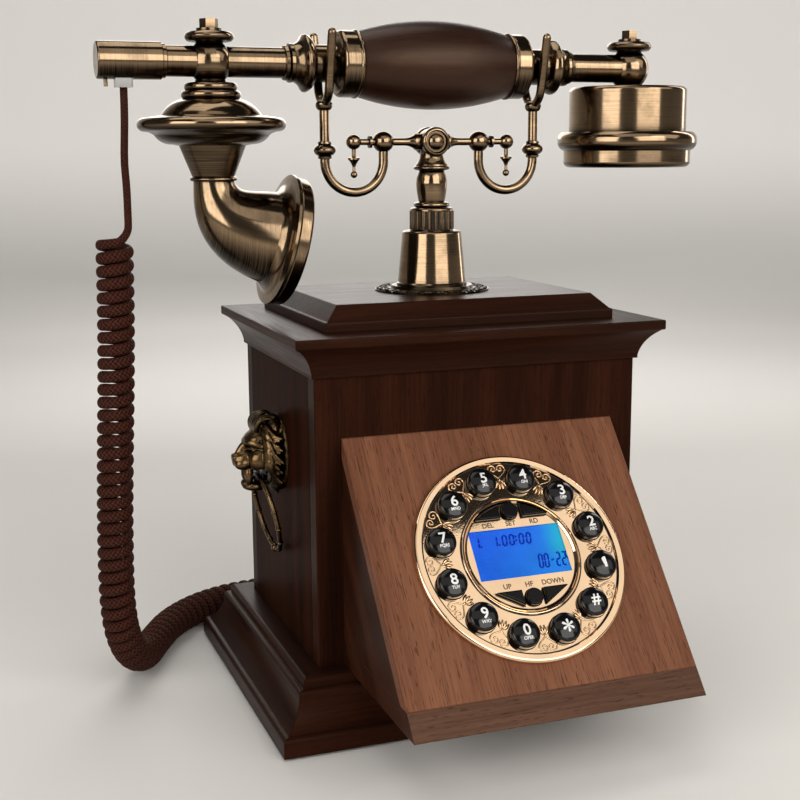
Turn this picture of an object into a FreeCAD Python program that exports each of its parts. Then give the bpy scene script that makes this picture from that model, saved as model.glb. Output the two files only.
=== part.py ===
"""Corded desk telephone in an antique style: wooden case, keypad dial box, brass cradle and handset.

Millimetres. +Z up, origin on the table under the middle of the column, -Y towards the caller.
"""
import FreeCAD
import Part
import Sketcher

import math
import os

Vector = FreeCAD.Vector
Placement = FreeCAD.Placement
Rotation = FreeCAD.Rotation
UP = Vector(0, 0, 1)
RIGHT = Vector(1, 0, 0)
BACK = Vector(0, 1, 0)
NEAR = 0.01

doc = FreeCAD.newDocument("corded_phone")
sheet = doc.addObject("Spreadsheet::Sheet", "dims")

# Driving dimensions
DRIVING = {
    # wooden case
    "column_width": 160, "column_depth": 122, "panel_thick": 9,
    "felt_thick": 1.2, "felt_inset": 3, "cover_thick": 3, "cover_gap": 0.2,
    "plinth_top": 31.6, "board_under": 180.2, "board_top": 184.8,
    "board_overhang": 11, "plate_width": 144, "plate_depth": 107.6, "plate_band": 4.6,
    "plate_bevel": 7.8, "plate_ledge": 1, "plate_top": 196.3, "stem_hole_radius": 6.6, "edge_round": 0.8,
    "block_side": 13, "block_height": 20, "screw_inset": 6.5, "screw_radius": 1.6,
    "screw_head_radius": 3.2, "screw_head": 0.8, "screw_length": 12, "felt_hole_radius": 4.5,
    "screw_play": 0.2, "screw_slot": 0.8, "screw_slot_sink": 0.4,
    "standoff_radius": 3, "standoff_inset": 6, "board_height": 12, "circuit_thick": 1.6,
    "main_board_width": 88, "main_board_depth": 70, "main_board_x": -20,
    # dial box
    "box_width": 135.5, "face_tilt": 49.9, "face_length": 139.5, "face_thick": 6,
    "floor_thick": 10, "cheek_thick": 7, "wire_hole_width": 60, "wire_hole_height": 40,
    "wire_hole_rise": 20,
    "dial_down": 65.9, "dial_shift": 0.5, "dial_hole_radius": 46.4, "key_circle": 37.2,
    "key_phase": -15, "key_hole_radius": 6.9, "cut_depth": 12, "cut_start": -2,
    "window_width": 44, "window_height": 23.4, "window_rise": 1.7, "window_thick": 1,
    "window_seat": 0.6, "window_play": 0.05,
    "lcd_width": 47, "lcd_height": 27, "lcd_thick": 4.2, "lcd_top": -0.2,
    "mat_radius": 46, "mat_thick": 1.6, "mat_top": -4.8,
    "function_foot": -3, "function_height": 7.1, "function_gap": 0.35, "function_round": 0.7,
    "round_key_radius": 3.9, "upper_key_rise": 21.2, "lower_key_rise": -20,
    # hook switch and bells
    "bracket_width": 30, "bracket_thick": 2, "bracket_height": 134, "bracket_reach": 14,
    "bracket_leg": 24, "switch_length": 20, "switch_width": 6.4, "switch_height": 11,
    "switch_shift": 8, "spring_inner": 3.2, "spring_outer": 5.6, "spring_gap": 0.1,
    "speaker_x": 48,
    # sockets and plugs
    "jack_shift": 30, "jack_height": 52, "jack_body": 14, "jack_depth": 13,
    "line_slot_width": 9.8, "line_slot_height": 7, "slot_depth": 10,
    "plug_width": 7.6, "plug_height": 6.2, "plug_proud": 6, "cap_plug_proud": 3.6,
    # lion heads and rings
    "lion_height": 120, "lion_room": 40, "ring_out": 11.6, "ring_height": 110, "ring_radius": 19.5,
    "ring_wire": 2, "ring_knot": 2.9, "ring_lean": 12.3, "mouth_radius": 4.4,
    # cradle
    "cradle_gap": 0.2, "flute_count": 20, "flute_radius": 0.8, "flute_circle": 10.8,
    "flute_foot": 0.9, "flute_length": 8.8,
    "crossbar_height": 268.4, "hub_front": 9, "hook_inner": 25, "hook_outer": 54.5,
    "hook_wire": 2.3, "hook_turn_height": 259.4, "hook_bead_height": 264.6, "fork_wire": 2.1,
    "fork_bottom": 286.6, "fork_turn": 9, "fork_tip_spread": 14.6, "fork_tip_height": 317.6,
    "pendant_out": 40, "pendant_foot": 251.4,
    # handset
    "handset_height": 304.5, "hub_spacing": 108.4, "grip_half": 38.4, "ferrule_length": 9.8,
    "nut_flats": 7.4, "nut_height": 4.2, "washer_radius": 5.8, "washer_thick": 1.2,
    "cup_height": 273.2, "cap_height": 255.2, "bell_height": 251, "horn_wall": 1.8,
    "sound_hole_radius": 1.5, "sound_hole_circle": 9, "sound_hole_count": 6,
    "capsule_radius": 25, "capsule_thick": 5, "capsule_lift": 7,
    "grille_radius": 23.6, "grille_thick": 2.4, "grille_seat": 7.2,
    "cap_plug_out": 147.8, "pin_out": 155.6, "pin_radius": 0.9, "pin_drop": 3.2, "pin_root": 4,
    # curly cord
    "wire_radius": 2.2, "coil_radius": 6.3, "coil_pitch": 6.1,
}

# Turned profiles: (name, radius, height, arc) from the axis outwards, up and back to the axis.
# The arc is the radius of the edge that arrives at the corner: plus swells, minus is hollowed.
PROFILES = {
    "cradle_flange": [("bore_foot", 12.6, 0, 0), ("rim_foot", 28.2, 0, 0), ("rim_top", 28.2, 0.8, 0),
                      ("border", 20.6, 1.2, 0), ("step", 20, 2.6, 0), ("bore_top", 12.6, 2.6, 0)],
    "cradle_cone": [("bore_foot", 6.2, 0, 0), ("foot", 17.4, 0, 0), ("foot_lip", 17.4, 1, 0),
                    ("waist", 16.8, 1.6, 0), ("shoulder", 14.6, 25.4, 0), ("lip", 13.6, 26.6, 1.6),
                    ("bore_top", 6.2, 26.6, 0)],
    "fluted_collar": [("bore_foot", 5.55, 0, 0), ("foot", 10.5, 0, 0), ("crown_foot", 10.5, 10.2, 0),
                      ("crown", 9.6, 11.2, 1.2), ("bore_top", 5.55, 11.2, 0)],
    "cradle_stem": [("clip_axis", 0, -88, 0), ("clip_foot", 7, -88, 0), ("clip_top", 7, -86, 0),
                    ("rod_foot", 5.5, -86, 0), ("rod_top", 5.5, 0, 0), ("ring_foot", 7.8, 0, 0),
                    ("ring_belly", 8.8, 1.2, 1.3), ("ring_top", 7.8, 2.4, 1.3), ("fillet", 6.4, 2.8, 0),
                    ("vase_foot", 6.6, 3.8, 0), ("vase_belly", 7.6, 11.6, 40), ("vase_neck", 6.1, 17.6, 14),
                    ("bead_foot", 8, 18, 0), ("bead_belly", 8.9, 19, 1.2), ("bead_top", 8, 20, 1.2),
                    ("flare_foot", 7.8, 20.6, 0), ("flare_top", 5.6, 25.6, -8), ("seat", 5.6, 28, 0),
                    ("seat_axis", 0, 28, 0)],
    "crossbar_arm": [("root_axis", 0, 4, 0), ("root", 3.9, 4, 0), ("flare_lip", 3.9, 8.6, 0),
                     ("flare_foot", 3.3, 9.2, 0), ("flare_end", 1.8, 14.2, -9), ("rod", 1.8, 20.23, 0),
                     ("ball", 5.1, 25, 5.1), ("ball_end", 1.7, 29.81, 5.1), ("neck", 1.6, 31, 0),
                     ("disc_in", 2.9, 31.2, 0), ("disc_out", 2.9, 32.4, 0), ("spindle", 1.5, 32.6, 0),
                     ("tip_in", 1.5, 36.73, 0), ("tip_ball", 3.6, 40, 3.6), ("tip", 0, 43.6, 3.6)],
    "crossbar_hub": [("button_axis", 0, 0, 0), ("button", 3.7, 1.5, 5.4), ("well_in", 3.9, 2.6, 0),
                     ("well_out", 5, 2.6, 0), ("boss_lip", 5.6, 1.6, 0), ("boss_rim", 7, 2.8, 1.6),
                     ("boss_back", 7, 5, 0), ("body_front", 6.5, 5.4, 0), ("body_back", 6.5, 12.6, 0),
                     ("back_front", 7, 13, 0), ("back_rim", 7, 15.4, 0), ("back_edge", 5.8, 16.6, 1.4),
                     ("back_axis", 0, 16.6, 0)],
    "pendant": [("tip", 0, 0, 0), ("bead", 1.7, 1.7, 1.72), ("bead_top", 0.8, 3.2, 1.72),
                ("thread", 0.7, 5.2, 0), ("drop", 2.9, 8.8, -7), ("drop_rim", 2.9, 9.6, 0),
                ("stem_foot", 1, 10.2, 0), ("stem_top", 1, 13.8, 0), ("stem_axis", 0, 13.8, 0)],
    "hook_bead": [("foot_axis", 0, -4, 0), ("foot", 3.1, -4, 0), ("foot_top", 3.4, -3, 0),
                  ("waist", 2.9, -2.6, 0), ("belly", 5.3, 0, 3), ("crown", 2.9, 2.6, 3),
                  ("collar", 3.4, 3, 0), ("collar_top", 3.1, 4, 0), ("collar_axis", 0, 4, 0)],
    "fork_cup": [("foot_axis", 0, -3.4, 0), ("foot", 2.9, -3.4, 0), ("rim", 4, -1.2, 3.4),
                 ("brow", 3.6, 0.4, 1.6), ("crown_axis", 0, 1.6, 0)],
    "handset_grip": [("left_bore", 5.2, 0, 0), ("left_edge", 15, 0, 0), ("right_edge", 15, 76.8, 130),
                     ("right_bore", 5.2, 76.8, 0)],
    "ferrule": [("bore_in", 5.2, 0, 0), ("rim_in", 15.1, 0, 0), ("bead", 15.9, 0.9, 1.2),
                ("bead_out", 15.3, 1.9, 1.2), ("body", 15.4, 2.4, 0), ("body_out", 15.4, 8, 0),
                ("lip", 13.7, 9.8, 2), ("bore_out", 5.2, 9.8, 0)],
    "handset_arm": [("tenon_axis", 0, -26, 0), ("tenon", 5.15, -26, 0), ("shoulder", 5.15, 0, 0),
                    ("root", 13.4, 0, 0), ("throat", 8.6, 3.8, -4.6), ("neck", 8.6, 11.4, 0),
                    ("bell_foot", 9.6, 12, 0), ("bell_peak", 13.1, 15.2, 5), ("bell_brow", 12.6, 16.8, 1.2),
                    ("bell_tail", 8.4, 21.6, -8), ("ring_in", 8.9, 22, 0), ("ring_out", 8.9, 23.4, 0),
                    ("groove", 7.6, 23.8, 0), ("collar", 8.1, 24.4, 0), ("collar_out", 7.8, 25.8, 0),
                    ("rod", 6.9, 26.2, 0), ("rod_end", 6.9, 60.2, 0), ("rod_axis", 0, 60.2, 0)],
    "arm_hub": [("foot_axis", 0, -8.8, 0), ("foot", 7.4, -8.8, 0), ("foot_top", 6.8, -7.9, 0),
                ("equator", 10, 0, 10.2), ("shoulder", 6.4, 7.8, 9.8), ("groove", 6.2, 8.5, 0),
                ("knob_foot", 9.8, 8.9, 0), ("knob_belly", 11.2, 11, 2.6), ("knob_brow", 9.6, 13, 2.6),
                ("knob_top", 6.4, 13.4, 0), ("knob_axis", 0, 13.4, 0)],
    "end_cap": [("rod_axis", 0, 0, 0), ("rod", 6.9, 0, 0), ("rod_end", 6.9, 20.4, 0),
                ("step", 7.6, 20.8, 0), ("step_end", 7.6, 22.2, 0),
                ("cap", 8.3, 22.6, 0), ("cap_end", 8.3, 50.4, 0),
                ("cap_edge", 7.6, 51.2, 0.9), ("cap_axis", 0, 51.2, 0)],
    "mouthpiece_bell": [("bore_foot", 7.8, 0, 0), ("ring_foot", 10.4, 0, 0), ("ring_belly", 10.9, 0.9, 1.2),
                        ("ring_top", 10.2, 1.8, 1.2), ("cup_foot", 9.8, 2.2, 0), ("cup_rim", 15.3, 16, 0),
                        ("under_foot", 18.4, 16.6, 0), ("under_belly", 26.4, 20.8, 9),
                        ("rim_low", 31, 22.4, -9),
                        ("rim_out", 34, 25.4, 3.2), ("rim_high", 31.4, 28.4, 3.2), ("dish", 23, 29.6, 0),
                        ("dome", 13.8, 36.8, 15), ("low_ring_foot", 12.9, 37.2, 0),
                        ("low_ring_belly", 13.6, 38.8, 1.9), ("low_ring_top", 12.7, 40.4, 1.9),
                        ("top_ring_foot", 11.5, 40.8, 0), ("top_ring_belly", 12.1, 42.4, 1.9),
                        ("top_ring_crown", 10.6, 44.2, 1.9),
                        ("top", 8.2, 44.7, 0), ("bore_top", 6, 44.7, 0), ("dome_in", 11, 36, 0),
                        ("dish_in", 21, 28, 0), ("rim_in", 30.4, 26, 0), ("under_in", 24.6, 22.4, 0),
                        ("cup_in", 13.4, 16.8, 0)],
    "horn_flange": [("bore_in", 19.8, 0, 0), ("root", 21.5, 0, 0), ("flare", 28.2, 4.6, -8),
                    ("rim_in", 31, 5, 0), ("rim", 31.2, 6.2, 0), ("line", 30.3, 6.6, 0),
                    ("band", 30.6, 7.2, 0), ("band_out", 30.2, 11.6, 0),
                    ("front_edge", 28.6, 13, 1.8), ("front_in", 26.6, 13, 0),
                    ("seat_edge", 24.6, 9.6, 0), ("bore_out", 24, 6.8, 0)],
    "receiver_cup": [("inner_rim", 27.8, 0, 0), ("outer_rim", 29.75, 0, 0), ("side_top", 29.75, 20.2, 0),
                     ("shoulder", 27.6, 22.2, 2.2), ("crown", 9, 22.5, 0), ("crown_axis", 0, 22.5, 0),
                     ("inside_axis", 0, 19.5, 0), ("inside_edge", 27.8, 19.5, 0)],
    "ear_cap": [("dish_axis", 0, 3, 0), ("dish_edge", 25, 0.6, -90), ("lip", 29.4, 0, 0),
                ("round", 32.3, 2.8, 3), ("band_top", 32.3, 8.4, 0), ("bead_foot", 33.4, 9, 0),
                ("bead", 35.5, 13.4, 4.9), ("bead_top", 33.4, 17.7, 4.9), ("top_out", 29.8, 18, 0),
                ("top_in", 27.6, 18, 0), ("inside_edge", 27.6, 6.4, 0), ("inside_axis", 0, 6.4, 0)],
    "dial_plate": [("bore_foot", 28.1, 0, 0), ("back_out", 45.1, 0, 0), ("skirt_in", 45.1, -4.8, 0),
                   ("skirt_out", 46.2, -4.8, 0), ("skirt_root", 46.2, 0, 0), ("rim_foot", 49.4, 0, 0),
                   ("rim_side", 49.4, 1.3, 0), ("rim_brow", 48, 2.7, 1.6), ("rim_in", 45.9, 2.7, 0),
                   ("field_out", 45.3, 1.8, 0), ("bore_top", 28.1, 1.8, 0)],
    "display_plate": [("axis_foot", 0, 0, 0), ("rim_foot", 27.9, 0, 0), ("rim_side", 27.9, 2, 0),
                      ("ridge_out", 27.3, 2.6, 0.7), ("groove_out", 26.9, 2, 0), ("groove_in", 26.5, 2, 0),
                      ("ridge_in", 26, 2.6, 0), ("disc_edge", 25.2, 1.8, 0), ("disc_axis", 0, 1.8, 0)],
    "dial_key": [("foot_axis", 0, -3, 0), ("flange", 7.6, -3, 0), ("flange_top", 7.6, -1.9, 0),
                 ("skirt_foot", 6.6, -1.9, 0), ("skirt", 6.6, 4.35, 0), ("brow", 5.76, 5.69, 1.5),
                 ("crown", 1, 7, 13), ("crown_axis", 0, 7, 0)],
    "speaker": [("foot_axis", 0, 0, 0), ("foot", 10, 0, 0), ("magnet", 10, 5, 0), ("cone", 17, 10, 0),
                ("rim", 18, 10, 0), ("rim_top", 18, 12, 0), ("top_axis", 0, 12, 0)],
}

# Mouldings: (name, overhang, height, arc) of the outer face, from the foot up.
MOULDINGS = {
    "plinth_moulding": [("foot", 23.6, 1.2, 0), ("side", 23.6, 8.4, 0), ("bead", 22, 10.2, 2),
                        ("quirk", 20.6, 10.4, 0), ("cove", 13.4, 24.4, -20), ("fillet", 13.4, 25.6, 0),
                        ("step", 12, 27, 1.5), ("riser", 10.4, 27.2, 0), ("neck", 10.4, 29.6, 0),
                        ("brow", 8.6, 31.6, 2), ("ledge", 0, 31.6, 0), ("back", 0, 1.2, 0)],
    "cornice_cove": [("back", 0, 180.2, 0), ("foot_in", 0, 166, 0), ("foot", 1.4, 166, 0),
                     ("fillet", 1.4, 167.4, 0), ("cove", 9.8, 180.2, -19)],
}

# Route of the curly cord's middle line, from the coil's top to its end behind the case.
COIL_ROUTE = [(-155, 0, 226), (-155.4, 1, 196), (-156.8, 2, 160), (-158.8, 3.4, 122), (-160.4, 5.2, 82),
              (-160.6, 7.4, 45), (-155, 18.4, 22.2), (-145, 37.9, 9.3), (-134.2, 61, 9.3),
              (-121.6, 84.3, 9.3), (-99.7, 104.8, 9.3), (-71.5, 115, 9.3), (-45.5, 114.6, 9.3)]

# The coil is drawn as biarcs of a quarter turn, and its gaps are measured on points this far apart.
STEPS_PER_TURN = 4
GAP_SPACING = 0.6

# The lead's way down from the handset's plug, measured from the plug's end.
LEAD_ROUTE = [(0, 0, -13), (-1.2, 0.6, -32)]

# The tail's way up to the rear plug, measured from the plug's end.
TAIL_ROUTE = [(-7, 43, -8), (-0.6, 25, 0.5), (0, 12, 0)]

# Keys of the dial, anticlockwise from the phase angle, and the wedge keys' corners on the dial.
DIAL_KEYS = ["1", "2", "3", "4", "5", "6", "7", "8", "9", "0", "star", "hash"]
WEDGE_KEYS = {
    "key_upper_left": [(-17.4, 17.8), (-5.4, 17.8), (-5.4, 24), (-12.6, 21)],
    "key_upper_right": [(5.4, 17.8), (17.4, 17.8), (12.6, 21), (5.4, 24)],
    "key_lower_left": [(-16.8, -16.4), (-5.2, -23.4), (-5.2, -16.4)],
    "key_lower_right": [(5.2, -16.4), (5.2, -23.4), (16.8, -16.4)],
}
ROUND_KEYS = {"key_upper_middle": "upper_key_rise", "key_lower_middle": "lower_key_rise"}

# Horn sections in the handset's upright plane: middle x, middle z, radius and slope below level.
HORN_SECTIONS = {
    "neck": (-108.4, 251, 9.4, 90), "bend": (-107.3, 243, 11.4, 64), "elbow": (-104.3, 236.4, 14.3, 44),
    "belly": (-99.2, 231.2, 17.1, 29), "throat": (-91.4, 227, 19.8, 18), "mouth": (-83.6, 224.5, 21.5, 14),
}
SECTION_SIZES = ("x_place", "z_place", "radius", "slope")

# Lion head masses: distance out from the panel, sideways, height from the head's middle, then the
# radii outwards, sideways and up. A mass off the middle has a twin on the other side.
LION_MASSES = {
    "mane": (1.2, 0, 1, 6.6, 20, 22), "face": (8, 0, 0, 9, 12, 14), "brow": (12, 0, 8, 5.4, 9, 5.6),
    "muzzle": (16, 0, -3.4, 7.8, 7.4, 6), "jaw": (13, 0, -12.4, 5.6, 6, 4.4), "beard": (4, 0, -20, 5, 8, 7),
    "ear": (5, 13, 16, 4.2, 4, 5), "upper_tuft": (3.4, 18, 8, 5, 4.6, 7),
    "side_tuft": (3, 19, -4, 4.8, 4.6, 7.4), "lower_tuft": (2.6, 15, -14, 4.6, 5, 7),
    "crown_tuft": (3, 7, 20, 5, 5.4, 4.6),
}
MASS_SIZES = ("out", "across", "rise", "deep", "wide", "tall")


def fill_sheet():
    """Write every driving dimension and profile corner to the sheet, each with its alias."""
    cells = dict(DRIVING)
    for piece, corners in list(PROFILES.items()) + list(MOULDINGS.items()):
        for name, across, height, arc in corners:
            cells[f"{piece}_{name}_across"] = across
            cells[f"{piece}_{name}_height"] = height
            if arc:
                cells[f"{piece}_{name}_arc"] = abs(arc)
    for family, table, words in (("lion", LION_MASSES, MASS_SIZES), ("horn", HORN_SECTIONS, SECTION_SIZES)):
        for name, values in table.items():
            for word, value in zip(words, values):
                cells[f"{family}_{name}_{word}"] = value
    for row, (alias, value) in enumerate(cells.items(), start=1):
        sheet.set(f"A{row}", alias)
        sheet.set(f"B{row}", str(value))
        sheet.setAlias(f"B{row}", alias)
    doc.recompute()


def size(alias):
    """A dimension as the sheet holds it."""
    return float(sheet.get(alias))


def bind(item, **expressions):
    """Tie an object's sizes to cells of the sheet."""
    for prop, expression in expressions.items():
        item.setExpression(prop, expression)
    return item


def add(kind, name):
    return doc.addObject(kind, name)


def at(x, y, z):
    """Placement without a turn."""
    return Placement(Vector(x, y, z), Rotation())


def facing(direction, x, y, z):
    """Placement that turns a piece's own Z along a direction."""
    return Placement(Vector(x, y, z), Rotation(UP, direction))


def on_dial(across=0.0, rise=0.0):
    """Placement on the sloped face: own X to the right, own Y up the slope, own Z out of the face."""
    tilt = math.radians(size("face_tilt"))
    down = size("dial_down") - rise
    top = face_top()
    y = -size("column_depth") / 2 - down * math.cos(tilt)
    z = top - down * math.sin(tilt)
    return Placement(Vector(size("dial_shift") + across, y, z), Rotation(RIGHT, size("face_tilt")))


def on_face(lift, across=0.0, rise=0.0):
    """Placement above or below the sloped face, from the dial's middle."""
    return on_dial(across, rise).multiply(at(0, 0, lift))


def face_top():
    """Height of the sloped face's upper edge on the column."""
    return size("plinth_top") + size("face_length") * math.sin(math.radians(size("face_tilt")))


def box(name, sizes, corner):
    """A block with bound sizes and its lowest corner."""
    block = bind(add("Part::Box", name), Length=sizes[0], Width=sizes[1], Height=sizes[2])
    block.Placement.Base = Vector(*corner)
    return block


def cylinder(name, radius, height, placement):
    peg = bind(add("Part::Cylinder", name), Radius=radius, Height=height)
    peg.Placement = placement
    return peg


def cut(name, base, tools):
    """The base less every tool."""
    for index, tool in enumerate(tools):
        step = add("Part::Cut", f"{name}_cut{index}")
        step.Base = base
        step.Tool = tool
        base = step
    return base


def fuse(name, pieces):
    joined = add("Part::MultiFuse", f"{name}_fuse")
    joined.Shapes = pieces
    return joined


def group(name, pieces):
    """Separate solids kept in one sub-part."""
    together = add("Part::Compound", f"{name}_group")
    together.Links = pieces
    return together


def mirrored(name, source):
    """The same piece on the other side of the middle plane."""
    twin = add("Part::Mirroring", f"{name}_twin")
    twin.Source = source
    twin.Normal = RIGHT
    return twin


def rounded(name, base, radius_alias, wanted):
    """Round the edges of a block whose middle the test accepts."""
    doc.recompute()
    round_over = add("Part::Fillet", f"{name}_round")
    round_over.Base = base
    radius = size(radius_alias)
    chosen = []
    for index, edge in enumerate(base.Shape.Edges, start=1):
        middle = edge.valueAt((edge.FirstParameter + edge.LastParameter) / 2)
        if wanted(middle, edge):
            chosen.append((index, radius, radius))
    round_over.Edges = chosen
    return round_over


def origin_plane(body, role):
    return next(feature for feature in body.Origin.OriginFeatures if feature.Role == role)


def arc_centre(start, end, radius):
    """Middle of the arc between two corners: left of the way for plus, right for minus."""
    half = (end - start) / 2
    reach = math.sqrt(max(radius * radius - half.Length ** 2, 0.0))
    left = Vector(-half.y, half.x, 0).normalize()
    return start + half + left * math.copysign(reach, radius)


def draw_outline(sketch, piece, corners, turn_about=1):
    """Closed outline through named corners, each corner bound to its two cells."""
    points = [Vector(turn_about * across, height, 0) for name, across, height, arc in corners]
    count = len(points)
    ends = []
    for index in range(count):
        start = points[index]
        end = points[(index + 1) % count]
        bulge = turn_about * corners[(index + 1) % count][3]
        if bulge == 0:
            sketch.addGeometry(Part.LineSegment(start, end), False)
            ends.append((1, 2))
            continue
        centre = arc_centre(start, end, bulge)
        first, last = (start, end) if bulge > 0 else (end, start)
        circle = Part.Circle(centre, UP, abs(bulge))
        angle_from = math.atan2(first.y - centre.y, first.x - centre.x)
        angle_to = math.atan2(last.y - centre.y, last.x - centre.x)
        if angle_to < angle_from:
            angle_to += 2 * math.pi
        sketch.addGeometry(Part.ArcOfCircle(circle, angle_from, angle_to), False)
        ends.append((1, 2) if bulge > 0 else (2, 1))
    for index in range(count):
        following = (index + 1) % count
        sketch.addConstraint(Sketcher.Constraint("Coincident", index, ends[index][1],
                                                 following, ends[following][0]))
    for index, (name, across, height, arc) in enumerate(corners):
        edge = (index - 1) % count
        sides = (("DistanceX", "across", turn_about * across), ("DistanceY", "height", height))
        for kind, axis, value in sides:
            number = sketch.addConstraint(Sketcher.Constraint(kind, -1, 1, edge, ends[edge][1], value))
            sketch.renameConstraint(number, f"{name}_{axis}")
            sign = "-" if axis == "across" and turn_about < 0 else ""
            sketch.setExpression(f"Constraints.{name}_{axis}", f"{sign}dims.{piece}_{name}_{axis}")
        if arc:
            number = sketch.addConstraint(Sketcher.Constraint("Radius", edge, abs(arc)))
            sketch.renameConstraint(number, f"{name}_arc")
            sketch.setExpression(f"Constraints.{name}_arc", f"dims.{piece}_{name}_arc")


def turned(name, piece, placement):
    """A piece from the lathe: its profile spun about its own Z."""
    body = add("PartDesign::Body", name)
    sketch = body.newObject("Sketcher::SketchObject", f"{name}_profile")
    sketch.AttachmentSupport = (origin_plane(body, "XZ_Plane"), [""])
    sketch.MapMode = "FlatFace"
    draw_outline(sketch, piece, PROFILES[piece])
    spin = body.newObject("PartDesign::Revolution", f"{name}_spin")
    spin.Profile = sketch
    spin.ReferenceAxis = (sketch, ["V_Axis"])
    spin.Angle = 360
    body.Placement = placement
    return body


def plate(name, corners, depth, placement, plane="XY_Plane"):
    """A flat piece cut to an outline of plain corners and raised by a bound depth."""
    body = add("PartDesign::Body", name)
    sketch = body.newObject("Sketcher::SketchObject", f"{name}_outline")
    sketch.AttachmentSupport = (origin_plane(body, plane), [""])
    sketch.MapMode = "FlatFace"
    points = [Vector(across, rise, 0) for across, rise in corners]
    for start, end in zip(points, points[1:] + points[:1]):
        sketch.addGeometry(Part.LineSegment(start, end), False)
    pad = body.newObject("PartDesign::Pad", f"{name}_pad")
    pad.Profile = sketch
    bind(pad, Length=depth)
    body.Placement = placement
    return body


def moulding(name):
    """A strip run round the column with mitred corners."""
    body = add("PartDesign::Body", name)
    half_width = size("column_width") / 2
    half_depth = size("column_depth") / 2
    path = body.newObject("Sketcher::SketchObject", f"{name}_path")
    path.AttachmentSupport = (origin_plane(body, "XY_Plane"), [""])
    path.MapMode = "FlatFace"
    turns = [(0, -half_depth), (half_width, -half_depth), (half_width, half_depth),
             (-half_width, half_depth), (-half_width, -half_depth)]
    points = [Vector(x, y, 0) for x, y in turns]
    for start, end in zip(points, points[1:] + points[:1]):
        path.addGeometry(Part.LineSegment(start, end), False)
    profile = body.newObject("Sketcher::SketchObject", f"{name}_profile")
    profile.AttachmentSupport = (origin_plane(body, "YZ_Plane"), [""])
    profile.MapMode = "FlatFace"
    profile.AttachmentOffset = Placement(Vector(-half_depth, 0, 0), Rotation())
    draw_outline(profile, name, MOULDINGS[name], turn_about=-1)
    doc.recompute()
    run = body.newObject("PartDesign::AdditivePipe", f"{name}_run")
    run.Profile = profile
    run.Spine = (path, [f"Edge{index + 1}" for index in range(len(points))])
    run.Transition = "Right corner"
    return body


def pipe(name, edges, radius_alias):
    """A round wire along joined lines and arcs."""
    route = add("Part::Feature", f"{name}_route")
    route.Shape = Part.Wire(edges)
    section = bind(add("Part::Circle", f"{name}_section"), Radius=f"dims.{radius_alias}")
    start = edges[0]
    first = start.FirstParameter
    section.Placement = facing(start.tangentAt(first), *start.valueAt(first))
    tube = add("Part::Sweep", f"{name}_tube")
    tube.Sections = [section]
    tube.Spine = (route, [f"Edge{index + 1}" for index in range(len(edges))])
    tube.Solid = True
    return tube


def ball(name, radius_alias, at):
    bead = bind(add("Part::Sphere", name), Radius=f"dims.{radius_alias}")
    bead.Placement.Base = Vector(*at)
    return bead


# Wooden case


def make_case():
    half_width = size("column_width") / 2
    half_depth = size("column_depth") / 2
    thick = size("panel_thick")
    foot = size("felt_thick")
    parts = {}
    parts["plinth_moulding"] = moulding("plinth_moulding")
    high = "dims.board_under - dims.felt_thick"

    def corner_post(middle, edge):
        return abs(middle.x) > half_width - NEAR and abs(middle.y) > half_depth - NEAR

    front = box("front_board", ("dims.column_width", "dims.panel_thick", high),
                (-half_width, -half_depth, foot))
    wire_hole = box("wire_hole",
                    ("dims.wire_hole_width", "2 * dims.panel_thick", "dims.wire_hole_height"),
                    (-size("wire_hole_width") / 2, -half_depth - thick / 2,
                     size("plinth_top") + size("wire_hole_rise")))
    front = rounded("front_panel", front, "edge_round", corner_post)
    parts["front_panel"] = cut("front_panel", front, [wire_hole])
    rear = box("rear_board", ("dims.column_width", "dims.panel_thick", high),
               (-half_width, half_depth - thick, foot))
    jack_holes = [box(f"jack_hole{side}", ("dims.jack_body", "2 * dims.panel_thick", "dims.jack_body"),
                      (side * size("jack_shift") - size("jack_body") / 2, half_depth - 1.5 * thick,
                       size("jack_height") - size("jack_body") / 2)) for side in (-1, 1)]
    rear = rounded("rear_panel", rear, "edge_round", corner_post)
    parts["rear_panel"] = cut("rear_panel", rear, jack_holes)

    between = "dims.column_depth - 2 * dims.panel_thick"
    block = size("block_side")
    side = box("side_board", ("dims.panel_thick", between, high), (-half_width, thick - half_depth, foot))
    block_rise = foot + size("cover_thick")
    blocks = [box(f"glue_block{end}", ("dims.block_side", "dims.block_side", "dims.block_height"),
                  (thick - half_width, y, block_rise))
              for end, y in enumerate((thick - half_depth, half_depth - thick - block))]
    pilots = [cylinder(f"pilot{end}", "dims.screw_radius", "dims.screw_length", at(-x, y, foot))
              for end, (x, y) in enumerate(screw_places()[:2])]
    left = cut("side_panel", fuse("side_panel", [side] + blocks), pilots)
    parts["side_panels"] = group("side_panels", [left, mirrored("side_panel", left)])

    overhang = size("board_overhang")
    board = box("top_board",
                ("dims.column_width + 2 * dims.board_overhang",
                 "dims.column_depth + 2 * dims.board_overhang", "dims.board_top - dims.board_under"),
                (-half_width - overhang, -half_depth - overhang, size("board_under")))
    board = rounded("top_board", board, "edge_round", lambda middle, edge: True)
    stem_hole = cylinder("board_stem_hole", "dims.stem_hole_radius", "dims.plate_top", Placement())
    board = cut("top_board", board, [stem_hole])
    parts["cornice"] = group("cornice", [moulding("cornice_cove"), board])
    parts["top_plate"] = make_top_plate()
    parts["dial_box_case"], parts["dial_box_face"] = make_dial_box()
    return parts


def screw_places():
    """Bottom screws: two on the right, two on the left, seen from above."""
    x = size("column_width") / 2 - size("panel_thick") - size("screw_inset")
    y = size("column_depth") / 2 - size("panel_thick") - size("screw_inset")
    return [(x, -y), (x, y), (-x, -y), (-x, y)]


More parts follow.
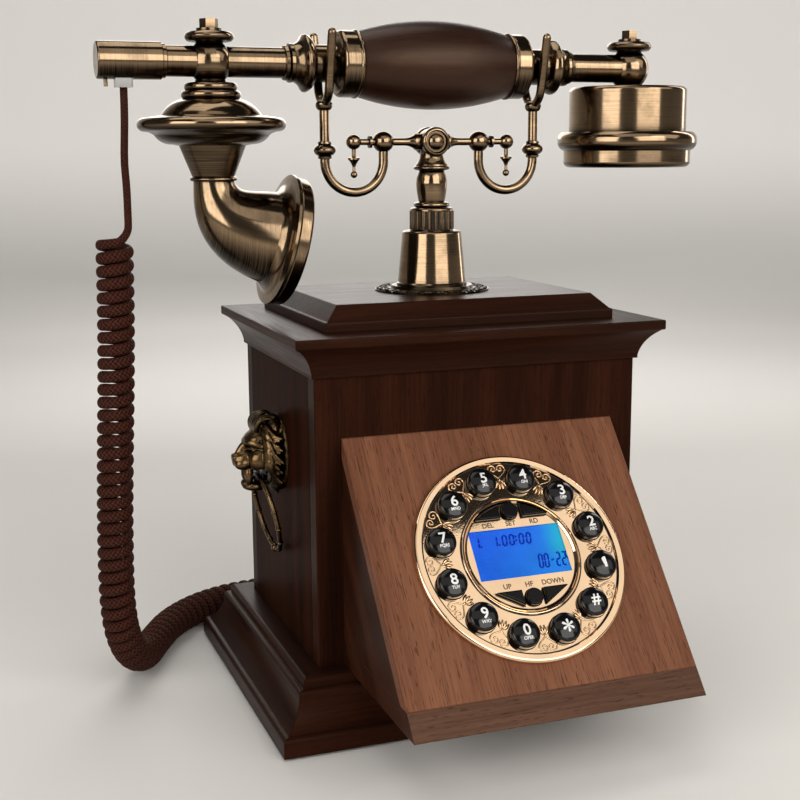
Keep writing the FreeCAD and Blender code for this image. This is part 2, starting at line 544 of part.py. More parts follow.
def make_top_plate():
    """Raised plate: an upright band below a bevel."""
    wide = size("plate_width") / 2
    deep = size("plate_depth") / 2
    low = size("board_top")
    band = box("plate_band_block", ("dims.plate_width", "dims.plate_depth", "dims.plate_band"),
               (-wide, -deep, low))
    bevel = add("Part::Wedge", "plate_bevel_block")
    for prop, plate_side in (("X", "dims.plate_width / 2"), ("Z", "dims.plate_depth / 2")):
        bevel.setExpression(f"{prop}min", f"dims.plate_ledge - {plate_side}")
        bevel.setExpression(f"{prop}max", f"{plate_side} - dims.plate_ledge")
        bevel.setExpression(f"{prop}2min", f"dims.plate_bevel - {plate_side}")
        bevel.setExpression(f"{prop}2max", f"{plate_side} - dims.plate_bevel")
    bind(bevel, Ymin="0", Ymax="dims.plate_top - dims.board_top - dims.plate_band")
    bevel.Placement = Placement(Vector(0, 0, low + size("plate_band")), Rotation(RIGHT, 90))
    hole = cylinder("plate_stem_hole", "dims.stem_hole_radius", "2 * dims.plate_top", Placement())
    rim = low + size("plate_band")

    def band_rim(middle, edge):
        outside = abs(middle.x) > wide - NEAR or abs(middle.y) > deep - NEAR
        return outside and abs(middle.z - rim) < NEAR

    whole = rounded("top_plate", fuse("top_plate", [band, bevel]), "edge_round", band_rim)
    return cut("top_plate", whole, [hole])


def make_dial_box():
    """Wedge in front of the column: bevelled floor, two cheeks and the sloped face."""
    tilt = math.radians(size("face_tilt"))
    half = size("box_width") / 2
    wall = -size("column_depth") / 2
    low = size("plinth_top")
    reach = size("face_length") * math.cos(tilt)
    board = size("floor_thick")
    lean = 1 / math.tan(tilt)
    inner = size("face_thick") / math.sin(tilt)
    side_on = at(-half, 0, 0)
    step = low + board
    face_foot = wall - reach + board * lean
    floor = plate("dial_box_floor", [(wall, low), (wall - reach, low), (face_foot, step), (wall, step)],
                  "dims.box_width", side_on, "YZ_Plane")
    cheek_front = face_foot + inner
    cheek_top = step + (wall - cheek_front) / lean
    cheek = plate("dial_box_cheek", [(wall, step), (cheek_front, step), (wall, cheek_top)],
                  "dims.cheek_thick", side_on, "YZ_Plane")
    case = group("dial_box_case", [floor, cheek, mirrored("dial_box_cheek", cheek)])
    face = plate("dial_box_face_board",
                 [(wall, cheek_top), (cheek_front, step), (face_foot, step), (wall, face_top())],
                 "dims.box_width", side_on, "YZ_Plane")
    hole = cylinder("dial_hole", "dims.dial_hole_radius", "4 * dims.face_thick",
                    on_face(-2 * size("face_thick")))
    return case, cut("dial_box_face", face, [hole])


# Under the case and inside it


def make_inside():
    parts = {}
    half_width = size("column_width") / 2
    half_depth = size("column_depth") / 2
    thick = size("panel_thick")
    foot = size("felt_thick")
    reach = size("plinth_moulding_foot_across") - size("felt_inset")
    growth = "2 * (dims.plinth_moulding_foot_across - dims.felt_inset)"
    felt = box("felt_sheet", (f"dims.column_width + {growth}", f"dims.column_depth + {growth}",
                              "dims.felt_thick"), (-half_width - reach, -half_depth - reach, 0))
    holes = [cylinder(f"felt_hole{i}", "dims.felt_hole_radius", "dims.felt_thick", at(x, y, 0))
             for i, (x, y) in enumerate(screw_places())]
    parts["base_felt"] = cut("base_felt", felt, holes)

    gap = size("cover_gap")
    walls = "2 * (dims.panel_thick + dims.cover_gap)"
    cover = box("cover_sheet", (f"dims.column_width - {walls}", f"dims.column_depth - {walls}",
                                "dims.cover_thick"),
                (thick + gap - half_width, thick + gap - half_depth, foot))
    screw_holes = [cylinder(f"cover_hole{i}", "dims.screw_radius + dims.screw_play", "dims.cover_thick",
                            at(x, y, foot)) for i, (x, y) in enumerate(screw_places())]
    board_x = size("main_board_x")
    reach_x = size("main_board_width") / 2 - size("standoff_inset")
    reach_y = size("main_board_depth") / 2 - size("standoff_inset")
    posts = [cylinder(f"standoff{i}{j}", "dims.standoff_radius", "dims.board_height - dims.felt_thick",
                      at(board_x + i * reach_x, j * reach_y, foot))
             for i in (-1, 1) for j in (-1, 1)]
    parts["bottom_cover"] = cut("bottom_cover", fuse("bottom_cover", [cover] + posts), screw_holes)

    screws = []
    for i, (x, y) in enumerate(screw_places()):
        head_foot = foot - size("screw_head")
        head = cylinder(f"screw_head{i}", "dims.screw_head_radius", "dims.screw_head", at(x, y, head_foot))
        shank = cylinder(f"screw_shank{i}", "dims.screw_radius", "dims.screw_length", at(x, y, foot))
        slot = box(f"screw_slot{i}",
                   ("2 * dims.screw_head_radius", "dims.screw_slot", "dims.screw_slot_sink"),
                   (x - size("screw_head_radius"), y - size("screw_slot") / 2, head_foot))
        screws.append(cut(f"screw{i}", fuse(f"screw{i}", [head, shank]), [slot]))
    parts["case_screws"] = group("case_screws", screws)

    main = box("main_board", ("dims.main_board_width", "dims.main_board_depth", "dims.circuit_thick"),
               (board_x - size("main_board_width") / 2, -size("main_board_depth") / 2, size("board_height")))
    mat_foot = size("mat_top") - size("mat_thick")
    keypad = cylinder("keypad_board", "dims.mat_radius", "dims.circuit_thick",
                      on_face(mat_foot - size("circuit_thick")))
    bracket, switch, parts["hook_spring"] = make_hook_switch()
    parts["circuit_boards"] = group("circuit_boards", [main, keypad, bracket, switch])
    parts["keypad_mat"] = cylinder("keypad_mat", "dims.mat_radius", "dims.mat_thick", on_face(mat_foot))
    parts["ringer_speaker"] = turned("ringer_speaker", "speaker",
                                     at(size("speaker_x"), 0, foot + size("cover_thick")))
    parts["modular_jacks"], parts["base_plug"] = make_jacks()
    return parts


def make_hook_switch():
    wall = size("panel_thick") - size("column_depth") / 2
    low = size("bracket_height")
    half = size("bracket_width") / 2
    shelf = box("bracket_shelf", ("dims.bracket_width", f"dims.bracket_reach - {wall}", "dims.bracket_thick"),
                (-half, wall, low))
    leg = box("bracket_leg_plate", ("dims.bracket_width", "dims.bracket_thick", "dims.bracket_leg"),
              (-half, wall, low - size("bracket_leg")))
    top = low + size("bracket_thick")
    switch = box("switch_body", ("dims.switch_width", "dims.switch_length", "dims.switch_height"),
                 (size("switch_shift"), -size("switch_length") / 2, top))
    clip_foot = stem_foot() + size("cradle_stem_clip_foot_height")
    gap = size("spring_gap")
    outer = cylinder("spring_outside", "dims.spring_outer", f"{clip_foot - top - 2 * gap}",
                     at(0, 0, top + gap))
    inner = cylinder("spring_inside", "dims.spring_inner", f"{clip_foot - top}", at(0, 0, top))
    return fuse("hook_bracket", [shelf, leg]), switch, cut("hook_spring", outer, [inner])


def stem_foot():
    """Height where the moving stem meets the fixed fluted collar, with its gap."""
    stack = [size(f"{piece}_bore_top_height") for piece in ("cradle_flange", "cradle_cone", "fluted_collar")]
    return size("plate_top") + sum(stack) + size("cradle_gap")


def make_jacks():
    """Line and handset sockets in the rear panel, and the cord's plug in the handset one."""
    rear = size("column_depth") / 2
    middle = size("jack_height")
    bodies = []
    for side, wide, high in ((-1, "plug_width", "plug_height"), (1, "line_slot_width", "line_slot_height")):
        x = side * size("jack_shift")
        half = size("jack_body") / 2
        shell = box(f"jack_shell{side}", ("dims.jack_body", "dims.jack_depth", "dims.jack_body"),
                    (x - half, rear - size("jack_depth"), middle - half))
        slot = box(f"jack_slot{side}", (f"dims.{wide}", "dims.slot_depth", f"dims.{high}"),
                   (x - size(wide) / 2, rear - size("slot_depth"), middle - size(high) / 2))
        bodies.append(cut(f"jack{side}", shell, [slot]))
    plug_left = -size("jack_shift") - size("plug_width") / 2
    plug = box("base_plug_block",
               ("dims.plug_width", "dims.slot_depth + dims.plug_proud", "dims.plug_height"),
               (plug_left, rear - size("slot_depth"), middle - size("plug_height") / 2))
    return group("modular_jacks", bodies), plug


# Dial, display and keys


def make_dial():
    parts = {}
    places = []
    for index in range(len(DIAL_KEYS)):
        angle = math.radians(size("key_phase") + 360 / len(DIAL_KEYS) * index)
        places.append((size("key_circle") * math.cos(angle), size("key_circle") * math.sin(angle)))
    below = size("cut_start")
    holes = [cylinder(f"key_hole{i}", "dims.key_hole_radius", "dims.cut_depth", on_face(below, x, y))
             for i, (x, y) in enumerate(places)]
    parts["dial_plate"] = cut("dial_plate", turned("dial_ring", "dial_plate", on_dial()), holes)

    wide = size("window_width")
    high = size("window_height")
    rise = size("window_rise")
    opening = box("window_opening", ("dims.window_width", "dims.window_height", "dims.cut_depth"), (0, 0, 0))
    opening.Placement = on_face(below).multiply(at(-wide / 2, rise - high / 2, 0))
    key_ways = [opening]
    for name, corners in WEDGE_KEYS.items():
        outline = grown(corners, size("function_gap"))
        key_ways.append(plate(f"{name}_way", outline, "dims.cut_depth", on_face(below)))
    for name, height in ROUND_KEYS.items():
        key_ways.append(cylinder(f"{name}_way", "dims.round_key_radius + dims.function_gap", "dims.cut_depth",
                                 on_face(below, 0, size(height))))
    disc = turned("display_disc", "display_plate", on_dial())
    parts["display_plate"] = cut("display_plate", disc, key_ways)

    play = size("window_play")
    around = "2 * dims.window_play"
    window = box("window_sheet", (f"dims.window_width - {around}", f"dims.window_height - {around}",
                                  "dims.window_thick"), (0, 0, 0))
    window.Placement = on_face(size("window_seat")).multiply(at(play - wide / 2, rise + play - high / 2, 0))
    parts["display_window"] = window
    lcd = box("lcd_block", ("dims.lcd_width", "dims.lcd_height", "dims.lcd_thick"), (0, 0, 0))
    lcd.Placement = on_face(size("lcd_top") - size("lcd_thick")).multiply(
        at(-size("lcd_width") / 2, rise - size("lcd_height") / 2, 0))
    parts["lcd_module"] = lcd

    for name, (x, y) in zip(DIAL_KEYS, places):
        parts[f"key_{name}"] = turned(f"dial_key_{name}", "dial_key", on_dial(x, y))
    for name, corners in WEDGE_KEYS.items():
        block = plate(f"{name}_block", corners, "dims.function_height", on_face(size("function_foot")))
        parts[name] = soft_top(name, block)
    for name, height in ROUND_KEYS.items():
        peg = cylinder(f"{name}_peg", "dims.round_key_radius", "dims.function_height",
                       on_face(size("function_foot"), 0, size(height)))
        parts[name] = soft_top(name, peg)
    return parts


def grown(corners, gap):
    """The outline moved outwards by a gap, corner by corner."""
    count = len(corners)
    following = corners[1:] + corners[:1]
    area = sum(x * next_y - next_x * y for (x, y), (next_x, next_y) in zip(corners, following))
    turn = math.copysign(1, area)
    moved = []
    for i in range(count):
        before = Vector(*corners[i], 0) - Vector(*corners[i - 1], 0)
        after = Vector(*following[i], 0) - Vector(*corners[i], 0)
        out_before = Vector(before.y, -before.x, 0).normalize() * turn
        out_after = Vector(after.y, -after.x, 0).normalize() * turn
        spread = out_before + out_after
        moved.append((corners[i][0] + spread.x * gap * 2 / spread.Length ** 2,
                      corners[i][1] + spread.y * gap * 2 / spread.Length ** 2))
    return moved


def soft_top(name, block):
    """Round the key's upper edges."""
    top = size("function_foot") + size("function_height")
    into = on_dial().inverse()

    def upper(middle, edge):
        ends = [edge.valueAt(edge.FirstParameter), middle, edge.valueAt(edge.LastParameter)]
        return all(abs(into.multVec(point).z - top) < NEAR for point in ends)

    return rounded(name, block, "function_round", upper)


# Lion heads with ring handles


def make_lions():
    panel = -size("column_width") / 2
    middle = size("lion_height")

    lumps = []
    for name, (out, across, *rest) in LION_MASSES.items():
        for side in (-1, 1) if across else (1,):
            lump = bind(add("Part::Ellipsoid", f"lion_{name}{side}"), Radius1=f"dims.lion_{name}_tall",
                        Radius2=f"dims.lion_{name}_deep", Radius3=f"dims.lion_{name}_wide")
            lump.Placement.Base = Vector(panel - size(f"lion_{name}_out"), side * size(f"lion_{name}_across"),
                                         middle + size(f"lion_{name}_rise"))
            lumps.append(lump)
    room = size("lion_room")
    behind = box("lion_back", ("dims.lion_room", "2 * dims.lion_room", "2 * dims.lion_room"),
                 (panel, -room, middle - room))
    mouth = cylinder("lion_mouth", "dims.mouth_radius", "2 * dims.lion_room",
                     facing(BACK, panel - size("ring_out"), -room, size("ring_height")))
    left = cut("lion_head", fuse("lion_head", lumps), [behind, mouth])
    ring = bind(add("Part::Torus", "ring_hoop"), Radius1="dims.ring_radius", Radius2="dims.ring_wire")
    lean = math.radians(size("ring_lean"))
    hang = Vector(math.sin(lean), 0, -math.cos(lean))
    pivot = Vector(panel - size("ring_out"), 0, size("ring_height"))
    centre = pivot + hang * size("ring_radius")
    ring.Placement = Placement(centre, Rotation(UP, Vector(math.cos(lean), 0, math.sin(lean))))
    knot = ball("ring_knot_ball", "ring_knot", centre + hang * size("ring_radius"))
    left_ring = fuse("left_ring", [ring, knot])
    return {"lion_heads": group("lion_heads", [left, mirrored("lion_head", left)]),
            "left_ring": left_ring, "right_ring": mirrored("right_ring", left_ring)}


# Cradle


def make_cradle():
    parts = {}
    level = size("plate_top")
    parts["cradle_flange"] = turned("cradle_flange", "cradle_flange", at(0, 0, level))
    level += size("cradle_flange_bore_top_height")
    cone = turned("cradle_cone_body", "cradle_cone", at(0, 0, level))
    level += size("cradle_cone_bore_top_height")
    collar = turned("fluted_collar", "fluted_collar", at(0, 0, level))
    flutes = []
    for i in range(int(size("flute_count"))):
        angle = 2 * math.pi * i / size("flute_count")
        x = size("flute_circle") * math.cos(angle)
        y = size("flute_circle") * math.sin(angle)
        flutes.append(cylinder(f"flute{i}", "dims.flute_radius", "dims.flute_length",
                               at(x, y, level + size("flute_foot"))))
    collar = cut("fluted_collar", collar, [fuse("flutes", flutes)])
    parts["cradle_cone"] = group("cradle_cone", [cone, collar])

    bar = size("crossbar_height")
    stem = turned("stem_turning", "cradle_stem", at(0, 0, stem_foot()))
    hub = turned("crossbar_hub", "crossbar_hub", facing(BACK, 0, -size("hub_front"), bar))
    arm = turned("crossbar_arm", "crossbar_arm", facing(RIGHT, 0, 0, bar))
    drop = turned("pendant", "pendant", at(size("pendant_out"), 0, size("pendant_foot")))
    wing = fuse("crossbar_wing", [arm, drop])
    crossbar = fuse("cradle_crossbar", [hub, wing, mirrored("crossbar_wing", wing)])
    parts["cradle_stem"] = cut("cradle_stem", stem, [crossbar])
    parts["cradle_crossbar"] = crossbar
    hook = cut("hook", make_hook(), [crossbar])
    parts["cradle_hooks"] = group("cradle_hooks", [hook, mirrored("hook", hook)])
    return parts


def make_hook():
    """U-shaped wire from the crossbar's ball, up to a fork that the handset's neck lies in."""
    inner = size("hook_inner")
    outer = size("hook_outer")
    turn = size("hook_turn_height")
    bottom = size("fork_bottom")
    middle = (inner + outer) / 2
    radius = (outer - inner) / 2
    start = Vector(inner, 0, size("crossbar_height"))
    bend_in = Vector(inner, 0, turn)
    bend_out = Vector(outer, 0, turn)
    low = Vector(outer, 0, bottom)
    edges = [Part.LineSegment(start, bend_in).toShape(),
             Part.Arc(bend_in, Vector(middle, 0, turn - radius), bend_out).toShape(),
             Part.LineSegment(bend_out, low).toShape()]
    wire = pipe("hook_wire", edges, "hook_wire")
    bead = turned("hook_bead", "hook_bead", at(outer, 0, size("hook_bead_height")))
    cup = turned("fork_cup", "fork_cup", at(outer, 0, bottom))
    spread = size("fork_tip_spread")
    tip = size("fork_tip_height")
    centre = bottom + size("fork_turn")
    reach = math.hypot(spread, tip - centre)
    touch = math.atan2(tip - centre, spread) - math.acos(size("fork_turn") / reach)
    side = size("fork_turn") * math.cos(touch)
    rise = centre + size("fork_turn") * math.sin(touch)
    prongs = [Part.LineSegment(Vector(outer, -spread, tip), Vector(outer, -side, rise)).toShape(),
              Part.Arc(Vector(outer, -side, rise), low, Vector(outer, side, rise)).toShape(),
              Part.LineSegment(Vector(outer, side, rise), Vector(outer, spread, tip)).toShape()]
    fork = pipe("fork", prongs, "fork_wire")
    tips = [ball(f"fork_tip{sign}", "fork_wire", (outer, sign * spread, tip)) for sign in (-1, 1)]
    return fuse("hook", [wire, bead, cup, fork] + tips)


# Handset


def make_handset():
    parts = {}
    axis = size("handset_height")
    reach = size("hub_spacing")
    grip = size("grip_half")
    parts["handset_grip"] = turned("handset_grip", "handset_grip", facing(RIGHT, -grip, 0, axis))
    ferrule = turned("ferrule", "ferrule", facing(RIGHT, grip, 0, axis))
    parts["handset_ferrules"] = group("handset_ferrules", [ferrule, mirrored("ferrule", ferrule)])
    hub = turned("arm_hub", "arm_hub", at(reach, 0, axis))
    arm = turned("handset_arm", "handset_arm", facing(RIGHT, grip + size("ferrule_length"), 0, axis))
    arm = cut("arm", arm, [hub])
    parts["handset_arms"] = group("handset_arms", [arm, mirrored("arm", arm)])
    nut = make_nut(reach, axis + size("arm_hub_knob_top_height"))
    hub_twin = mirrored("arm_hub", hub)
    parts["arm_hubs"] = group("arm_hubs", [hub, hub_twin, nut, mirrored("nut", nut)])

    cap = turned("end_cap_body", "end_cap", facing(-RIGHT, -reach, 0, axis))
    under = axis - size("end_cap_cap_across")
    plug_left = -size("cap_plug_out") - size("plug_width") / 2
    plug = box("cap_plug_block",
               ("dims.plug_width", "dims.plug_height", "dims.slot_depth + dims.cap_plug_proud"),
               (plug_left, -size("plug_height") / 2, under - size("cap_plug_proud")))
    pin = cylinder("cap_pin", "dims.pin_radius", "dims.pin_drop + dims.pin_root",
                   at(-size("pin_out"), 0, under - size("pin_drop")))
    parts["end_cap"] = cut("end_cap", fuse("end_cap", [cap, pin]), [hub_twin, plug])
    parts["handset_plug"] = plug

    parts["mouthpiece_bell"] = turned("mouthpiece_bell", "mouthpiece_bell",
                                      at(-reach, 0, size("bell_height")))
    parts["mouthpiece_horn"], microphone = make_horn()
    parts["receiver_cup"] = turned("receiver_cup", "receiver_cup", at(reach, 0, size("cup_height")))
    low = size("cap_height")
    below = low + size("cut_start")
    holes = [cylinder("sound_hole_middle", "dims.sound_hole_radius", "dims.cut_depth", at(reach, 0, below))]
    for i in range(int(size("sound_hole_count"))):
        angle = 2 * math.pi * i / size("sound_hole_count")
        x = reach + size("sound_hole_circle") * math.cos(angle)
        y = size("sound_hole_circle") * math.sin(angle)
        holes.append(cylinder(f"sound_hole{i}", "dims.sound_hole_radius", "dims.cut_depth", at(x, y, below)))
    ear_cap = turned("ear_cap_body", "ear_cap", at(reach, 0, low))
    parts["ear_cap"] = cut("ear_cap", ear_cap, holes)
    receiver = cylinder("receiver_capsule", "dims.capsule_radius", "dims.capsule_thick",
                        at(reach, 0, low + size("capsule_lift")))
    parts["handset_capsules"] = group("handset_capsules", [microphone, receiver])
    return parts


def make_nut(x, low):
    """Hexagon nut on its washer."""
    washer = cylinder("nut_washer", "dims.washer_radius", "dims.washer_thick", at(x, 0, low))
    corner = size("nut_flats") / math.sqrt(3)
    outline = [(corner * math.cos(math.pi / 3 * i), corner * math.sin(math.pi / 3 * i)) for i in range(6)]
    hexagon = plate("nut_hexagon", outline, "dims.nut_height", at(x, 0, low + size("washer_thick")))
    return fuse("nut", [washer, hexagon])


def make_horn():
    """Bent horn that widens to a flanged mouth, with the microphone's grille in it."""

    def place(name):
        angle = math.radians(size(f"horn_{name}_slope"))
        way = Vector(math.cos(angle), 0, -math.sin(angle))
        return facing(way, size(f"horn_{name}_x_place"), 0, size(f"horn_{name}_z_place"))

    lofts = []
    for skin, shrink in (("outside", ""), ("inside", " - dims.horn_wall")):
        loft = add("Part::Loft", f"horn_{skin}")
        rings = []
        for name in HORN_SECTIONS:
            ring = bind(add("Part::Circle", f"horn_{skin}_{name}"), Radius=f"dims.horn_{name}_radius{shrink}")
            ring.Placement = place(name)
            rings.append(ring)
        loft.Sections = rings
        loft.Solid = True
        loft.Ruled = False
        lofts.append(loft)
    mouth = place("mouth")
    flange = turned("horn_flange", "horn_flange", mouth)
    seat = mouth.multiply(at(0, 0, size("grille_seat")))
    grille = cylinder("microphone_grille", "dims.grille_radius", "dims.grille_thick", seat)
    return cut("mouthpiece_horn", fuse("mouthpiece_horn", [lofts[0], flange]), [lofts[1]]), grille


# Curly cord


def rounded_route(points):
    """Straight runs with the largest tangent arcs their lengths allow."""
    points = [Vector(*point) for point in points]
    pieces = []
    radii = []
    start = points[0]
    for before, corner, after in zip(points, points[1:], points[2:]):
        into = (corner - before).normalize()
        out = (after - corner).normalize()
        turn = into.getAngle(out)
        shorter = min((corner - before).Length, (after - corner).Length)
        trim = 0.45 * shorter
        radius = trim / math.tan(turn / 2)
        first = corner - into * trim
        last = corner + out * trim
        inside = (out - into).normalize()
        middle = corner + inside * (radius / math.cos(turn / 2) - radius)
        pieces.append(Part.LineSegment(start, first))
        pieces.append(Part.Arc(first, middle, last))
        radii.append(radius)
        start = last
    pieces.append(Part.LineSegment(start, points[-1]))
    return pieces, radii


def helix_points(pieces, steps_per_turn):
    """Points and directions of a helix about a route, from the lead's side of the coil."""
    stations = []
    travelled = 0.0
    step = size("coil_pitch") / steps_per_turn
    normal = RIGHT
    for piece in pieces:
        edge = piece.toShape()
        while travelled <= edge.Length:
            parameter = edge.getParameterByLength(travelled)
            tangent = edge.tangentAt(parameter)
            normal = (normal - tangent * normal.dot(tangent)).normalize()
            stations.append((edge.valueAt(parameter), tangent, normal))
            travelled += step
        travelled -= edge.Length
    radius = size("coil_radius")
    points = []
    for index, (middle, tangent, normal) in enumerate(stations):
        angle = 2 * math.pi * index / steps_per_turn
        across = tangent.cross(normal)
        points.append(middle + normal * (radius * math.cos(angle)) + across * (radius * math.sin(angle)))
    return points


def smooth_directions(points):
    """Direction at each point from its two neighbours."""
    ways = []
    last = len(points) - 1
    for index in range(len(points)):
        ways.append((points[min(index + 1, last)] - points[max(index - 1, 0)]).normalize())
    return ways


def arc_between(start, way, end):
    """The arc that leaves the start along a direction and arrives at the end."""
    chord = end - start
    along = chord.normalize()
    span = start.distanceToPoint(end)
    side = way - along * way.dot(along)
    if side.Length < 1e-6:
        return Part.LineSegment(start, end).toShape()
    bend = way.getAngle(along)
    middle = (start + end) / 2 + side.normalize() * (span / 2 * math.tan(bend / 2))
    return Part.Arc(start, middle, end).toShape()


def biarc(start, way, end, end_way):
    """Two arcs that join two points with their directions."""
    chord = end - start
    sweep = way + end_way
    straight = 2 * (1 - way.dot(end_way))
    run = chord.dot(sweep)
    if straight < 1e-9:
        reach = chord.dot(chord) / (2 * run)
    else:
        reach = (math.sqrt(run * run + straight * chord.dot(chord)) - run) / straight
    joint = (start + end + (way - end_way) * reach) / 2
    turn_way = (end - end_way * reach - start - way * reach).normalize()
    return [arc_between(start, way, joint), arc_between(joint, turn_way, end)]


def swept(name, edges):
    """Round cord along joined edges, as one closed solid."""
    start = edges[0]
    radius = size("wire_radius")
    section = Part.Wire([Part.Circle(start.valueAt(start.FirstParameter),
                                     start.tangentAt(start.FirstParameter), radius).toShape()])
    route = Part.Wire(edges)
    shell = Part.BRepOffsetAPI.MakePipeShell(route)
    shell.add(section)
    shell.build()
    shell.makeSolid()
    solid = shell.shape()
    expected = math.pi * radius * radius * route.Length
    share = solid.Volume / expected
    print(f"{name}: length {route.Length:.0f} mm, volume {share:.3f} of section times length")
    piece = add("Part::Feature", f"{name}_solid")
    piece.Shape = solid
    return piece


def least_gap(edges, spacing):
    """Least distance between turns of the cord, on points along it."""
    points = []
    for edge in edges:
        count = max(2, int(edge.Length / spacing))
        points += edge.discretize(count)[:-1]
    away = int(size("coil_radius") * 4 / spacing)
    look = int(size("coil_radius") * 14 / spacing)
    least = min((points[i] - points[j]).Length for i in range(len(points) - away)
                for j in range(i + away, min(i + look, len(points))))
    return least - 2 * size("wire_radius")


def make_cord():
    """Lead from the handset's plug, the coil, and its tail to the plug behind the case."""
    steps = STEPS_PER_TURN
    pieces, radii = rounded_route(COIL_ROUTE)
    print("coil route radii", [round(radius) for radius in radii])
    points = helix_points(pieces, steps)
    ways = smooth_directions(points)
    last = max(range(len(points) - steps, len(points)), key=lambda index: ways[index].z)
    points = points[:last + 1]
    out = size("cap_plug_out")
    exit_height = size("handset_height") - size("end_cap_cap_across") - size("cap_plug_proud")
    wire = 2 * size("wire_radius")
    top = Vector(-out, 0, exit_height)
    points[0] = points[0] + UP * size("coil_pitch")
    lead_end = points[0] + UP * wire
    lead_route = [top] + [top + Vector(*step) for step in LEAD_ROUTE] + [lead_end + UP * 3 * wire, lead_end]
    lead_pieces, lead_radii = rounded_route(lead_route)
    print("lead radii", [round(radius) for radius in lead_radii])
    lead = swept("cord_lead", [piece.toShape() for piece in lead_pieces])

    ways[0] = -UP
    edges = [Part.LineSegment(lead_end, points[0]).toShape()]
    for index in range(len(points) - 1):
        edges += biarc(points[index], ways[index], points[index + 1], ways[index + 1])
    rear = size("column_depth") / 2 + size("plug_proud")
    socket = Vector(-size("jack_shift"), rear, size("jack_height"))
    tail = [points[-1], points[-1] + ways[last] * 4 * wire]
    tail += [socket + Vector(*step) for step in TAIL_ROUTE] + [socket]
    tail_pieces, tail_radii = rounded_route(tail)
    print("tail radii", [round(radius) for radius in tail_radii])
    gap = least_gap(edges, GAP_SPACING)
    print(f"curls {(len(points) - 1) / steps:.1f}, least gap to itself {gap:.2f} mm")
    edges += [piece.toShape() for piece in tail_pieces]
    return {"cord_lead": lead, "cord_curl": swept("cord_curl", edges)}


def check_document():
    """Stop if any object failed."""
    for item in doc.Objects:
        if "Invalid" in item.State or "Error" in item.State:
            raise RuntimeError(f"{item.Name} failed: {item.State}")


def write_parts(parts):
    """Name every sub-part, test its shape and write its file."""
    doc.recompute()
    check_document()
    os.makedirs("parts", exist_ok=True)
    for node, item in parts.items():
        item.Label = node
        shape = item.Shape
        if shape.isNull() or not shape.isValid() or not shape.Solids:
            raise RuntimeError(f"{node} has no valid solid")
        shape.exportStep(f"parts/{node}.step")
    print(f"{len(parts)} sub-parts written")


def main():
    fill_sheet()
    parts = {}
    for make in (make_case, make_inside, make_dial, make_lions, make_cradle, make_handset, make_cord):
        parts.update(make())
    write_parts(parts)


main()
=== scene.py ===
# %% [markdown]
# # A corded landline phone in walnut and antique bronze
# The solids of the phone arrive as a fixed frame: every node already stands where the construction
# puts it, in metres, with the front towards minus Y. This lesson dresses that frame. Pieces whose
# shape is right only get a finish; the cord, the lion heads and the ornament are made here.

# %% Load the frame
import bpy
import bmesh
import math
import numpy as np
from mathutils import Matrix, Quaternion, Vector


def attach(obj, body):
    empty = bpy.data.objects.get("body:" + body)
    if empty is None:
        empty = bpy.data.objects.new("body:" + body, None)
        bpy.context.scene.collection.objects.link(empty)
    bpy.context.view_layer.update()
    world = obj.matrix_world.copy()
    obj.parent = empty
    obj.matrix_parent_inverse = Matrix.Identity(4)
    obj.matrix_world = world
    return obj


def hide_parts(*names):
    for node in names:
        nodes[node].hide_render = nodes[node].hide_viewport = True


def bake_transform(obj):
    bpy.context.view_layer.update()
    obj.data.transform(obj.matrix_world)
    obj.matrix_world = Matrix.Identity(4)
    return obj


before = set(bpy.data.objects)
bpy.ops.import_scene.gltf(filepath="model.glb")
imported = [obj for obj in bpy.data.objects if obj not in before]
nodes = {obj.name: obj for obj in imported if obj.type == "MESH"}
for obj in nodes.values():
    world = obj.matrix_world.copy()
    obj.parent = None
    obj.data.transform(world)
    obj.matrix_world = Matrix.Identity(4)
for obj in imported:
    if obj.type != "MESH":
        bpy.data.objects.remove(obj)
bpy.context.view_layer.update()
MM = 0.001
scene = bpy.context.scene
scene.view_settings.view_transform = "Standard"

# %% [markdown]
# ## Camera
# The photograph was taken from a little above the dial, left of the middle. The lens and the place
# come from the straight edges of the case, so the drawing of the case in the picture agrees with
# the solids. A camera in Blender looks down its own minus Z, which is why the pitch starts at 90.

# %% Place the camera
CAMERA_PLACE = (-241.05, -605.75, 264.19)
YAW, PITCH, ROLL = 0.354, -0.188, -0.006
LENS_PIXELS, FRAME_PIXELS, SENSOR = 1310.16, 800, 36.0


def add_object(name, data):
    made = bpy.data.objects.new(name, data)
    scene.collection.objects.link(made)
    return made


lens = bpy.data.cameras.new("portrait_camera")
lens.sensor_width = SENSOR
lens.lens = LENS_PIXELS / FRAME_PIXELS * SENSOR
lens.clip_start = 0.02
camera = add_object("portrait_camera", lens)
turn = (Matrix.Rotation(-YAW, 4, "Z") @ Matrix.Rotation(math.pi / 2 + PITCH, 4, "X")
        @ Matrix.Rotation(ROLL, 4, "Z"))
camera.matrix_world = Matrix.Translation(Vector(CAMERA_PLACE) * MM) @ turn
scene.camera = camera
print(f"camera: {lens.lens:.1f} mm lens at {[round(v, 3) for v in camera.location]}")

# %% [markdown]
# ## Making nodes in short lines
# A material or a geometry tree is a list of nodes and the wires between them. One helper fills a node's
# inputs: an input that is given a socket is wired to it, and an input that is given a number keeps it.
# Another makes a node, sets its options and fills it, and short ones stand for the kinds of node that
# come again and again. The last ones open a group with named sockets, open a material, and lay a
# finished material on nodes of the frame.

# %% Make and fill nodes
def fill(tree, made, inputs):
    for name, value in inputs.items():
        if isinstance(value, bpy.types.NodeSocket):
            tree.links.new(value, made.inputs[name])
        else:
            made.inputs[name].default_value = value


def node(tree, kind, inputs=None, **options):
    made = tree.nodes.new(kind)
    for name, value in options.items():
        setattr(made, name, value)
    fill(tree, made, inputs or {})
    return made


